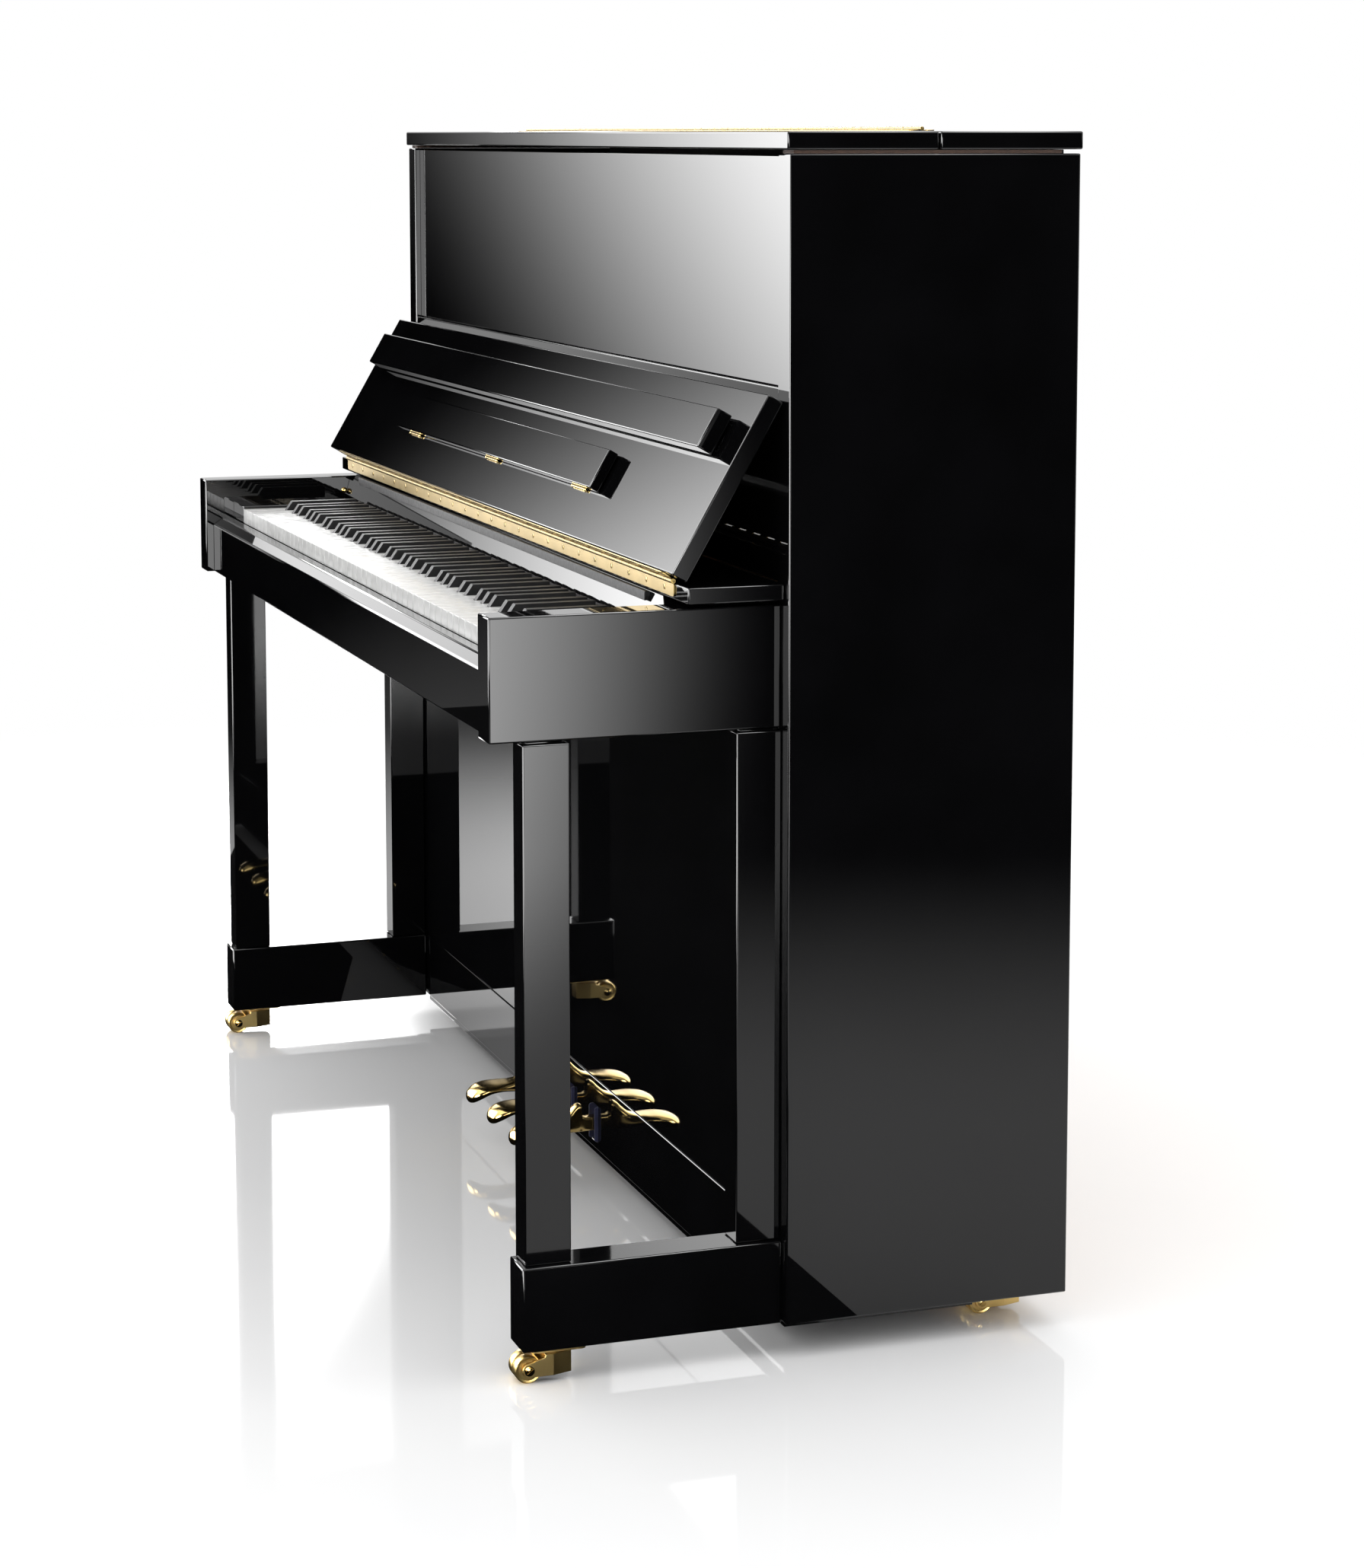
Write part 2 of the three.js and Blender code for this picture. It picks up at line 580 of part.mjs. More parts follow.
function buildKeys() {
  const keyboard = new THREE.Group();
  piano.add(keyboard);
  const singles = 4; // middle C to the F above it
  const after = MID_C + singles;
  part("white_keys_bass", whiteBank(0, MID_C), ivory, keyboard);
  part("white_keys_treble", whiteBank(after, WHITE_KEY_COUNT), ivory, keyboard);
  part("black_keys_bass", blackBank(0, MID_C), ebony, keyboard);
  part("black_keys_treble", blackBank(after - 1, WHITE_KEY_COUNT), ebony, keyboard);
  for (let n = MID_C; n < after; n++) {
    const note = NOTE_LETTERS[degreeOf(n)] + octaveOf(n);
    part(`key_${note}`, whiteKey(n), ivory, keyboard);
    const sharp = NOTE_LETTERS[degreeOf(n)] + "_sharp_" + octaveOf(n);
    if (blackMiddle(n) !== null && n < after - 1) part(`key_${sharp}`, blackKey(n), ebony, keyboard);
  }
}

// ---- Fallboard, lip and music shelf -------------------------------------------------------

// The fallboard group stands on its hinge axis. In it, Y runs up the board and Z out of its face.
function buildFallboard() {
  const half = SIDE_OUTER - SHELF_SIDE_INSET;
  const shelf = block(-half, half, SHELF_FRONT, ARM_BACK, SHELF_BOTTOM, SHELF_TOP);
  part("fallboard_shelf", shelf, lacquer);

  const axisY = FALLBOARD_AXIS_Y;
  const axisZ = FALLBOARD_AXIS_Z;
  const leafHalf = half - 40;
  const leafFront = SHELF_FRONT - GAP - LEAF_THICKNESS;
  const fixedLeaf = block(
    -leafHalf, leafHalf, leafFront, SHELF_FRONT - GAP, SHELF_BOTTOM + 3, axisZ - 1,
  );
  const barrel = rodX(FALLBOARD_HINGE_RADIUS, -leafHalf, leafHalf, axisY, axisZ);
  part("fallboard_hinge", join(fixedLeaf, barrel), brass);

  const board = new THREE.Group();
  board.position.set(0, axisY, axisZ);
  board.rotation.x = LEAN;
  piano.add(board);
  const foot = FALLBOARD_FOOT;
  const face = FALLBOARD_FACE;
  const panel = block(-half, half, foot, FALLBOARD_TIP, FALLBOARD_BACKSET, face);
  part("fallboard", panel, lacquer, board);
  const leaf = block(-leafHalf, leafHalf, foot - GAP - LEAF_THICKNESS, foot - GAP, foot, 16);
  part("fallboard_hinge_leaf", leaf, brass, board);

  const lipHalf = ARM_INNER - 2;
  const lipTop = FALLBOARD_TIP - LIP_FROM_EDGE;
  const lipBottom = lipTop - LIP_WIDTH;
  const lipBack = face + LIP_STANDOFF;
  const bar = block(-lipHalf, lipHalf, lipBottom, lipTop, lipBack, lipBack + LIP_THICKNESS);
  const spacer = block(-lipHalf + 8, lipHalf - 8, lipBottom + 7, lipTop - 7, face + GAP, lipBack + 1);
  part("fallboard_lip", join(bar, spacer), lacquer, board);

  const ledgeHalf = SHELF_BAR_LENGTH / 2;
  const ledgeTop = lipBottom - SHELF_BAR_BELOW_LIP;
  const ledgeBack = face + SHELF_BAR_STANDOFF;
  const ledge = block(
    -ledgeHalf, ledgeHalf, ledgeTop - SHELF_BAR_WIDTH, ledgeTop, ledgeBack, ledgeBack + SHELF_BAR_THICKNESS,
  );
  part("music_shelf", ledge, lacquer, board);
}

// ---- Pedals -------------------------------------------------------------------------------

// Seen from above: a rounded pad on a slender stem. The tip is at Y = 0 and the stem runs to +Y.
function pedalPlan() {
  const half = PEDAL_WIDTH / 2;
  const stem = PEDAL_STEM_WIDTH / 2;
  const plan = new THREE.Shape();
  plan.moveTo(-stem, PEDAL_LENGTH + 8);
  plan.lineTo(-stem, 78);
  plan.bezierCurveTo(-stem, 58, -half, 52, -half, 26);
  plan.bezierCurveTo(-half, 8, -half * 0.6, 0, 0, 0);
  plan.bezierCurveTo(half * 0.6, 0, half, 8, half, 26);
  plan.bezierCurveTo(half, 52, stem, 58, stem, 78);
  plan.lineTo(stem, PEDAL_LENGTH + 8);
  return plan;
}

// Seen from the side: a drooping pad, a tall shoulder and the lever back to its pivot.
function pedalProfile() {
  const top = PEDAL_TOP;
  const profile = new THREE.Shape();
  profile.moveTo(PEDAL_LENGTH + 8, top - 12);
  profile.lineTo(PEDAL_LENGTH + 8, top + 3);
  profile.lineTo(86, top + 3);
  profile.lineTo(84, top + 20);
  profile.bezierCurveTo(72, top + 18, 74, top + 1, 56, top);
  profile.bezierCurveTo(36, top, 12, top + 1, 0, top - 14);
  profile.bezierCurveTo(-2, top - 24, 8, top - 26, 14, top - 20);
  profile.bezierCurveTo(30, top - 10, 44, top - 14, 60, top - 16);
  profile.lineTo(86, top - 14);
  return profile;
}

function buildPedals() {
  for (const [name, n] of [["left", -1], ["middle", 0], ["right", 1]]) {
    const pedal = new THREE.Group();
    pedal.position.set(n * PEDAL_PITCH, CASE_FRONT - PEDAL_TIP_FROM_CASE, 0);
    piano.add(pedal);
    const half = PEDAL_WIDTH / 2;
    const body = common(
      prismZ(pedalPlan(), 0, 2 * PEDAL_TOP),
      prismX(pedalProfile(), -half - 1, half + 1),
    );
    part(`pedal_${name}`, body, brass, pedal);
  }
}

// ---- Casters ------------------------------------------------------------------------------

// A pair of wheels with a groove between them, and the axle's two ends. The axle runs along X.
function wheelPair() {
  const facet = Math.PI / WHEEL_SEGMENTS;
  const rim = WHEEL_RADIUS / Math.cos(facet);
  const w = WHEEL_PAIR_WIDTH / 2;
  const g = WHEEL_GROOVE / 2;
  const end = w + GAP + FORK_PLATE;
  const side = [[0, end], [AXLE_RADIUS, end], [AXLE_RADIUS, w], [rim, w], [rim, g], [rim - 4, g]];
  const profile = [
    ...side.map(([r, h]) => new THREE.Vector2(r, -h)),
    ...side.reverse().map(([r, h]) => new THREE.Vector2(r, h)),
  ];
  return new THREE.LatheGeometry(profile, WHEEL_SEGMENTS, facet).rotateZ(Math.PI / 2);
}

// The fork hangs from its swivel pin. The wheel's axle is at the group's origin.
function fork(swivelTop) {
  const inner = WHEEL_PAIR_WIDTH / 2 + GAP;
  const outer = inner + FORK_PLATE;
  const eye = 7;
  const plate = new THREE.Shape();
  plate.absarc(0, 0, eye, Math.PI / 2, (3 * Math.PI) / 2, false);
  plate.lineTo(CASTER_LENGTH - 20, -7);
  plate.lineTo(CASTER_LENGTH - 20, 15);
  const rear = WHEEL_RADIUS + 2.5;
  const bodyBlock = prismZ(
    shapeOf([
      [-outer, rear],
      [outer, rear],
      [outer, CASTER_LENGTH - 20],
      [outer - 6, CASTER_LENGTH],
      [-outer + 6, CASTER_LENGTH],
      [-outer, CASTER_LENGTH - 20],
    ]),
    -7,
    15,
  );
  const pin = new THREE.CylinderGeometry(7, 7, swivelTop - 14, 12)
    .rotateX(Math.PI / 2)
    .translate(0, CASTER_TRAIL, (swivelTop + 14) / 2);
  const whole = join(
    prismX(plate, -outer, -inner),
    prismX(plate, inner, outer),
    bodyBlock,
    pin,
  );
  return cut(whole, rodX(AXLE_RADIUS + GAP, -outer - 5, outer + 5, 0, 0));
}

function buildCasters() {
  const frontY = ARM_FRONT + FRONT_CASTER_FROM_ARM_FRONT;
  const rearY = CASE_BACK - REAR_CASTER_FROM_BACK;
  const frontX = SIDE_OUTER - FRONT_CASTER_INSET;
  const rearX = SIDE_OUTER - REAR_CASTER_INSET;
  const places = [
    ["front_left", -frontX, frontY, TOE_BOTTOM],
    ["front_right", frontX, frontY, TOE_BOTTOM],
    ["rear_left", -rearX, rearY, CASE_CLEARANCE],
    ["rear_right", rearX, rearY, CASE_CLEARANCE],
  ];
  for (const [name, x, swivelY, underside] of places) {
    const caster = new THREE.Group();
    caster.position.set(x, swivelY - CASTER_TRAIL, WHEEL_RADIUS);
    piano.add(caster);
    part(`caster_fork_${name}`, fork(underside - GAP - WHEEL_RADIUS), brass, caster);
    part(`caster_wheels_${name}`, wheelPair(), brass, caster);
  }
}

// ---- Back frame, plate, soundboard and strings --------------------------------------------

function buildBackFrame() {
  const bottom = CASE_CLEARANCE;
  const top = CASE_HEIGHT - 8;
  const back = CASE_BACK;
  const pieces = [
    block(-INSIDE, INSIDE, POSTS_FRONT, back, bottom, bottom + BEAM_HEIGHT),
    block(-INSIDE, INSIDE, POSTS_FRONT, back, top - BEAM_HEIGHT, top),
    block(-INSIDE, INSIDE, POSTS_FRONT - PIN_BLOCK_DEPTH, POSTS_FRONT + 1, top - BEAM_HEIGHT, top),
    block(-INSIDE, INSIDE, POSTS_FRONT - PIN_BLOCK_DEPTH, POSTS_FRONT + 1, bottom + 6, bottom + 86),
  ];
  const step = (2 * INSIDE - POST_WIDTH) / (POST_COUNT - 1);
  for (let n = 0; n < POST_COUNT; n++) {
    const x = -INSIDE + n * step;
    pieces.push(block(x, x + POST_WIDTH, POSTS_FRONT, back, bottom + 1, top - 1));
  }
  part("back_frame", join(...pieces), beech);
}

function buildSoundboard() {
  const low = CASE_CLEARANCE + 86 + GAP;
  const high = CASE_HEIGHT - 8 - BEAM_HEIGHT - GAP;
  const front = SOUNDBOARD_Y;
  const back = front + SOUNDBOARD_THICKNESS;
  const middle = (low + high) / 2;
  const board = block(-SOUND_HALF, SOUND_HALF, front, back, low, high);
  const field = block(
    -SOUND_HALF + 20, SOUND_HALF - 20, front - BRIDGE_HEIGHT, back + RIB_SIZE, low + 20, high - 20,
  );
  const bars = [];
  const spread = (1.6 * SOUND_HALF) / RIB_COUNT;
  for (let n = 0; n < RIB_COUNT; n++) {
    const rib = new THREE.BoxGeometry(26, RIB_SIZE + 1, high - low + 500);
    rib.rotateY(THREE.MathUtils.degToRad(38));
    rib.translate((n - (RIB_COUNT - 1) / 2) * spread, back + (RIB_SIZE - 1) / 2, middle);
    bars.push(rib);
  }
  const trebleBridge = new THREE.BoxGeometry(SOUND_HALF * 1.35, BRIDGE_HEIGHT + 1, 34)
    .rotateY(THREE.MathUtils.degToRad(24))
    .translate(70, front - (BRIDGE_HEIGHT - 1) / 2, middle + 40);
  const bassBridge = new THREE.BoxGeometry(SOUND_HALF * 0.5, BRIDGE_HEIGHT + 1, 34)
    .rotateY(THREE.MathUtils.degToRad(18))
    .translate(-SOUND_HALF * 0.62, front - (BRIDGE_HEIGHT - 1) / 2, low + 150);
  const trimmed = common(join(trebleBridge, bassBridge, ...bars), field);
  part("soundboard", join(board, trimmed), spruce);
}

function buildPlate() {
  const low = PEDAL_TOP + 17; // over the pedals' levers
  const high = CASE_HEIGHT - 16;
  const windowLow = low + 116;
  const windowHigh = high - 200;
  const back = PLATE_FRONT + PLATE_THICKNESS;
  const half = SOUND_HALF - 20;
  const plate = block(-half, half, PLATE_FRONT, back, low, high);
  const pitch = (2 * half - PLATE_STRUT) / PLATE_WINDOWS;
  const windows = [];
  for (let n = 0; n < PLATE_WINDOWS; n++) {
    const x = -half + PLATE_STRUT + n * pitch;
    windows.push(block(x, x + pitch - PLATE_STRUT, PLATE_FRONT - 5, back + 5, windowLow, windowHigh));
  }
  part("iron_plate", cut(plate, ...windows), castIron);
}

function noteX(n, count = NOTE_COUNT) {
  return (n - (count - 1) / 2) * NOTE_PITCH;
}

function buildStrings() {
  const low = CASE_CLEARANCE + 90;
  const high = CASE_HEIGHT - 130;
  const half = noteX(NOTE_COUNT - 1) + 14;
  const front = STRINGS_Y - STRING_RADIUS;
  const rear = PLATE_FRONT - GAP;
  const pieces = [
    block(-half, half, front, rear, high - 14, high),
    block(-half, half, front, rear, low, low + 14),
  ];
  for (let n = 0; n < NOTE_COUNT; n++) {
    const string = new THREE.CylinderGeometry(STRING_RADIUS, STRING_RADIUS, high - low - 14, 3);
    string.rotateX(Math.PI / 2).translate(noteX(n), STRINGS_Y, (low + high) / 2);
    pieces.push(string);
  }
  part("strings", join(...pieces), steel);
}

// ---- Action -------------------------------------------------------------------------------

const ACTION_REF = NAMEBOARD_BOTTOM; // the action's heights count from here
const HAMMER_PIVOT_Z = ACTION_REF + 90;
const HAMMER_PIVOT_Y = STRINGS_Y - HAMMER_REACH;

function buildActionFrame() {
  const half = KEYS_HALF + 38;
  const y0 = CASE_FRONT + ACTION_START;
  const y1 = y0 + ACTION_DEPTH;
  const top = HAMMER_PIVOT_Z + HAMMER_LENGTH + 90;
  const bracket = (x, bottom) =>
    prismX(
      shapeOf([
        [y0, bottom],
        [y1, bottom],
        [y1, HAMMER_PIVOT_Z - 40],
        [y0 + 14, HAMMER_PIVOT_Z + 30],
        [y0 + 14, top],
        [y0, top],
      ]),
      x - 4,
      x + 4,
    );
  const rail = block(-half, half, y0 + 6, y1, ACTION_REF + 14, ACTION_REF + 44);
  const restRail = block(-half, half, y0 + 1, y0 + 13, HAMMER_PIVOT_Z + 84, HAMMER_PIVOT_Z + 110);
  const inner = ACTION_REF + 14;
  part(
    "action_frame",
    join(
      bracket(-half, KEY_BED_TOP + GAP),
      bracket(half, KEY_BED_TOP + GAP),
      bracket(-half / 3, inner),
      bracket(half / 3, inner),
      rail,
      restRail,
    ),
    beech,
  );
}

// A row of levers on one rail: hammers or dampers.
function comb(count, width, outline, railY, railZ, railDepth, railHeight) {
  const half = noteX(count - 1, count) + width / 2;
  const pieces = [block(-half, half, railY, railY + railDepth, railZ, railZ + railHeight)];
  for (let n = 0; n < count; n++) {
    const x = noteX(n, count);
    pieces.push(prismX(shapeOf(outline), x - width / 2, x + width / 2));
  }
  return join(...pieces);
}

function buildHammers() {
  const y = HAMMER_PIVOT_Y;
  const z = HAMMER_PIVOT_Z;
  const outline = [
    [y - 3, z],
    [y + 3, z],
    [y + 22, z + HAMMER_LENGTH],
    [y - 6, z + HAMMER_LENGTH],
  ];
  part("hammers", comb(NOTE_COUNT, HAMMER_WIDTH, outline, y - 8, z - 16, 16, 22), felt);
}

function buildDampers() {
  const y = STRINGS_Y - STRING_RADIUS - 1;
  const z = HAMMER_PIVOT_Z - 40;
  const outline = [
    [y - 12, z],
    [y - 7, z],
    [y, z + 66],
    [y, z + 104],
    [y - 12, z + 104],
  ];
  part("dampers", comb(DAMPER_COUNT, HAMMER_WIDTH, outline, y - 16, z - 12, 12, 18), felt);
}

function buildMuffler() {
  const y = STRINGS_Y - 16;
  const z = HAMMER_PIVOT_Z + HAMMER_LENGTH + 60;
  const half = noteX(NOTE_COUNT - 1) + 12;
  const bar = block(-half, half, y - 4, y + 8, z, z + 12);
  const strip = block(-half, half, y, y + 3, z - 36, z + 1);
  part("muffler_rail", join(bar, strip), felt);
}

buildSides();
buildLid();
buildUpperFront();
buildArms();
buildLegs();
buildLowerFront();
buildBottomBoard();
buildKeyBed();
buildKeySurround();
buildKeys();
buildFallboard();
buildPedals();
buildCasters();
buildBackFrame();
buildSoundboard();
buildPlate();
buildStrings();
buildActionFrame();
buildHammers();
buildDampers();
buildMuffler();

export default piano;
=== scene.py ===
import json
import math

import bmesh
import bpy
from mathutils import Matrix, Vector


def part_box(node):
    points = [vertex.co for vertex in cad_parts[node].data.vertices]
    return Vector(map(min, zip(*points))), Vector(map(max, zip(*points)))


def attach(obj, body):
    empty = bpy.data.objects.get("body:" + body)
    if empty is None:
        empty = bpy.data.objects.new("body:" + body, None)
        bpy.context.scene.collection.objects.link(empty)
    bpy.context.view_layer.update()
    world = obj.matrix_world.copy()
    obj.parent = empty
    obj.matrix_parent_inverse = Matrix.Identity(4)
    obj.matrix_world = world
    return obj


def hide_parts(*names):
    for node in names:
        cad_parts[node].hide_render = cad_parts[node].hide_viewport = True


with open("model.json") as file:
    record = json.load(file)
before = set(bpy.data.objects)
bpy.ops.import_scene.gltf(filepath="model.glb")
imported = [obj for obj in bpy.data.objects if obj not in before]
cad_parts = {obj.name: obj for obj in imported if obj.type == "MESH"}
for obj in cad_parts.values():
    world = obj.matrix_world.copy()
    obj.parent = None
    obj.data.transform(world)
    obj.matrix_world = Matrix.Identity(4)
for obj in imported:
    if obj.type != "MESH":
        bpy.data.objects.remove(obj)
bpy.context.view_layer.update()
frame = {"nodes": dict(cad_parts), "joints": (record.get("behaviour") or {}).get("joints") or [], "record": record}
MM = 0.001
BODIES = frame["record"]["behaviour"]["bodies"]
BODY_OF = {node: body for body, nodes in BODIES.items() for node in nodes}


# ---- Camera, light and floor ----------------------------------------------------------------

CAMERA_PLACE = (3.8666, -1.1910, 1.2291)
CAMERA_YAW = 1.2399
CAMERA_PITCH = -0.1158
LENS_MM = 78.76
SHIFT_DOWN = 0.16
FLOOR_FADE_START = 1.5
FLOOR_RADIUS = 3.2

# Soft lamps round the room: compass angle from +X towards +Y and height, in degrees, the
# angles at which each is at its full light and gone, and its brightness.
LAMPS = [
    ("backdrop", 152, 16, 16, 33, 1.0),
    ("front_left", 231.7, 12, 24.4, 40, 11.5),
    ("right", -2, -7, 13, 22.6, 11.5),
    ("edge_light", -58, 4, 6, 17, 24.0),
    ("rim_light", 181, 21, 6, 10, 2.4),
    ("top_edge_light", 171.5, 15.5, 3, 6.5, 16.0),
    ("low_fill", 198, -16, 5, 10, 0.15),
    ("top_light", 67, 69, 8, 24, 12.0),
    ("front", 290, 34, 8, 26, 1.6),
    ("rear", 80, 22, 10, 34, 1.4),
    ("ceiling", 0, 90, 22, 60, 2.2),
]
# A dark card on the floor in front of the piano, seen only in reflections: its corners.
DARK_CARD = [
    (1.1, -0.1),
    (1.32, 0.11),
    (0.79, 0.11),
    (0.72, 0.0),
    (-0.3, -0.02),
    (-3.2, -0.92),
    (-3.2, -2.6),
    (1.1, -2.6),
]


def add_camera():
    lens = bpy.data.cameras.new("camera")
    lens.lens = LENS_MM
    lens.shift_y = -SHIFT_DOWN
    lens.clip_end = 100
    camera = bpy.data.objects.new("camera", lens)
    camera.location = CAMERA_PLACE
    camera.rotation_euler = (math.pi / 2 + CAMERA_PITCH, 0, CAMERA_YAW)
    bpy.context.scene.collection.objects.link(camera)
    bpy.context.scene.camera = camera


def direction(compass, height):
    a, h = math.radians(compass), math.radians(height)
    return Vector((math.cos(a) * math.cos(h), math.sin(a) * math.cos(h), math.sin(h)))


def add_room():
    """White to look at, with soft lamps for reflections and an even light for the rest."""
    world = bpy.data.worlds.new("room")
    world.use_nodes = True
    bpy.context.scene.world = world
    tree = world.node_tree
    tree.nodes.clear()
    new, link = tree.nodes.new, tree.links.new
    coords = new("ShaderNodeTexCoord")
    light = None
    for _, compass, height, full, gone, brightness in LAMPS:
        dot = new("ShaderNodeVectorMath")
        dot.operation = "DOT_PRODUCT"
        dot.inputs[1].default_value = direction(compass, height)
        link(coords.outputs["Generated"], dot.inputs[0])
        lamp = new("ShaderNodeMapRange")
        lamp.interpolation_type = "SMOOTHERSTEP"
        lamp.inputs["From Min"].default_value = math.cos(math.radians(gone))
        lamp.inputs["From Max"].default_value = math.cos(math.radians(full))
        lamp.inputs["To Min"].default_value = 0
        lamp.inputs["To Max"].default_value = brightness
        link(dot.outputs["Value"], lamp.inputs["Value"])
        if light is None:
            light = lamp.outputs["Result"]
            continue
        total = new("ShaderNodeMath")
        total.operation = "ADD"
        link(light, total.inputs[0])
        link(lamp.outputs["Result"], total.inputs[1])
        light = total.outputs[0]
    up = new("ShaderNodeSeparateXYZ")
    link(coords.outputs["Generated"], up.inputs[0])
    even = new("ShaderNodeMapRange")
    even.inputs["From Min"].default_value = 0
    even.inputs["To Min"].default_value = 0.8
    even.inputs["To Max"].default_value = 1.75
    link(up.outputs["Z"], even.inputs["Value"])
    rays = new("ShaderNodeLightPath")
    reflected, spread, seen = (new("ShaderNodeBackground") for _ in range(3))
    link(light, reflected.inputs["Strength"])
    link(even.outputs["Result"], spread.inputs["Strength"])
    inner, outer = new("ShaderNodeMixShader"), new("ShaderNodeMixShader")
    for background in (reflected, spread, seen):
        background.inputs["Color"].default_value = (1, 1, 1, 1)
    link(rays.outputs["Is Glossy Ray"], inner.inputs["Fac"])
    link(spread.outputs[0], inner.inputs[1])
    link(reflected.outputs[0], inner.inputs[2])
    link(rays.outputs["Is Camera Ray"], outer.inputs["Fac"])
    link(inner.outputs[0], outer.inputs[1])
    link(seen.outputs[0], outer.inputs[2])
    link(outer.outputs[0], new("ShaderNodeOutputWorld").inputs["Surface"])
    view = bpy.context.scene.view_settings
    view.view_transform = "Standard"


def add_floor():
    """A pale glossy disc that fades out at its rim, where the white room takes over."""
    bm = bmesh.new()
    bmesh.ops.create_circle(bm, cap_ends=True, segments=96, radius=FLOOR_RADIUS)
    mesh = bpy.data.meshes.new("floor")
    bm.to_mesh(mesh)
    bm.free()
    floor = bpy.data.objects.new("floor", mesh)
    bpy.context.scene.collection.objects.link(floor)
    mat, tree, bsdf = shader("floor", 0.05)
    tint(tree, noise(tree, 3, 2), bsdf, (0.865, 0.865, 0.87), (0.88, 0.88, 0.88))
    bsdf.inputs["IOR"].default_value = 1.33
    coords = tree.nodes.new("ShaderNodeTexCoord")
    length = tree.nodes.new("ShaderNodeVectorMath")
    length.operation = "LENGTH"
    tree.links.new(coords.outputs["Object"], length.inputs[0])
    fade = tree.nodes.new("ShaderNodeMapRange")
    fade.interpolation_type = "SMOOTHSTEP"
    fade.inputs["From Min"].default_value = FLOOR_FADE_START
    fade.inputs["From Max"].default_value = FLOOR_RADIUS
    fade.inputs["To Min"].default_value = 1
    fade.inputs["To Max"].default_value = 0
    tree.links.new(length.outputs["Value"], fade.inputs["Value"])
    tree.links.new(fade.outputs["Result"], bsdf.inputs["Alpha"])
    mesh.materials.append(mat)


def add_dark_card():
    """Keeps the floor's glare out of the lacquer that faces the room, as a photographer would."""
    mesh = bpy.data.meshes.new("dark_card")
    mesh.from_pydata([(x, y, 0.0015) for x, y in DARK_CARD], [], [range(len(DARK_CARD))])
    card = bpy.data.objects.new("dark_card", mesh)
    bpy.context.scene.collection.objects.link(card)
    mat, tree, bsdf = shader("dark_card", 0.9)
    tint(tree, noise(tree, 4, 2), bsdf, (0.004, 0.004, 0.004), (0.006, 0.006, 0.006))
    bsdf.inputs["Specular IOR Level"].default_value = 0
    side = tree.nodes.new("ShaderNodeNewGeometry")
    clear, mix = tree.nodes.new("ShaderNodeBsdfTransparent"), tree.nodes.new("ShaderNodeMixShader")
    tree.links.new(side.outputs["Backfacing"], mix.inputs["Fac"])
    tree.links.new(bsdf.outputs[0], mix.inputs[1])
    tree.links.new(clear.outputs[0], mix.inputs[2])
    tree.links.new(mix.outputs[0], tree.nodes["Material Output"].inputs["Surface"])
    mesh.materials.append(mat)
    card.visible_camera = card.visible_diffuse = False
    card.visible_shadow = card.visible_transmission = False


# ---- Materials ------------------------------------------------------------------------------


def shader(name, roughness, metallic=0.0):
    """A new Principled material, its node tree and its shader."""
    mat = bpy.data.materials.new(name)
    mat.use_nodes = True
    bsdf = mat.node_tree.nodes["Principled BSDF"]
    bsdf.inputs["Roughness"].default_value = roughness
    bsdf.inputs["Metallic"].default_value = metallic
    return mat, mat.node_tree, bsdf


def noise(tree, scale, detail, stretch=(1, 1, 1)):
    """Noise in the piece's own coordinates, finer along the larger stretches."""
    coords = tree.nodes.new("ShaderNodeTexCoord")
    mapping = tree.nodes.new("ShaderNodeMapping")
    mapping.inputs["Scale"].default_value = stretch
    texture = tree.nodes.new("ShaderNodeTexNoise")
    texture.inputs["Scale"].default_value = scale
    texture.inputs["Detail"].default_value = detail
    tree.links.new(coords.outputs["Object"], mapping.inputs["Vector"])
    tree.links.new(mapping.outputs["Vector"], texture.inputs["Vector"])
    return texture.outputs["Fac"]


def tint(tree, factor, bsdf, dark, light):
    """Base colour that runs from dark to light with factor."""
    ramp = tree.nodes.new("ShaderNodeValToRGB")
    ramp.color_ramp.elements[0].position = 0.3
    ramp.color_ramp.elements[0].color = (*dark, 1)
    ramp.color_ramp.elements[1].position = 0.7
    ramp.color_ramp.elements[1].color = (*light, 1)
    tree.links.new(factor, ramp.inputs["Fac"])
    tree.links.new(ramp.outputs["Color"], bsdf.inputs["Base Color"])


def vary_roughness(tree, factor, bsdf, low, high):
    spread = tree.nodes.new("ShaderNodeMapRange")
    spread.inputs["From Min"].default_value = 0.3
    spread.inputs["From Max"].default_value = 0.7
    spread.inputs["To Min"].default_value = low
    spread.inputs["To Max"].default_value = high
    tree.links.new(factor, spread.inputs["Value"])
    tree.links.new(spread.outputs["Result"], bsdf.inputs["Roughness"])


def bump(tree, factor, bsdf, strength, distance):
    node = tree.nodes.new("ShaderNodeBump")
    node.inputs["Strength"].default_value = strength
    node.inputs["Distance"].default_value = distance
    tree.links.new(factor, node.inputs["Height"])
    tree.links.new(node.outputs["Normal"], bsdf.inputs["Normal"])


def make_lacquer():
    """Polished polyester: near-black, faint polishing haze and the slightest ripple."""
    mat, tree, bsdf = shader("black_lacquer", 0.02)
    tint(tree, noise(tree, 7, 3), bsdf, (0.0018, 0.0018, 0.002), (0.003, 0.003, 0.0034))
    vary_roughness(tree, noise(tree, 9, 4), bsdf, 0.01, 0.03)
    bump(tree, noise(tree, 25, 1), bsdf, 0.02, 0.0001)
    return mat


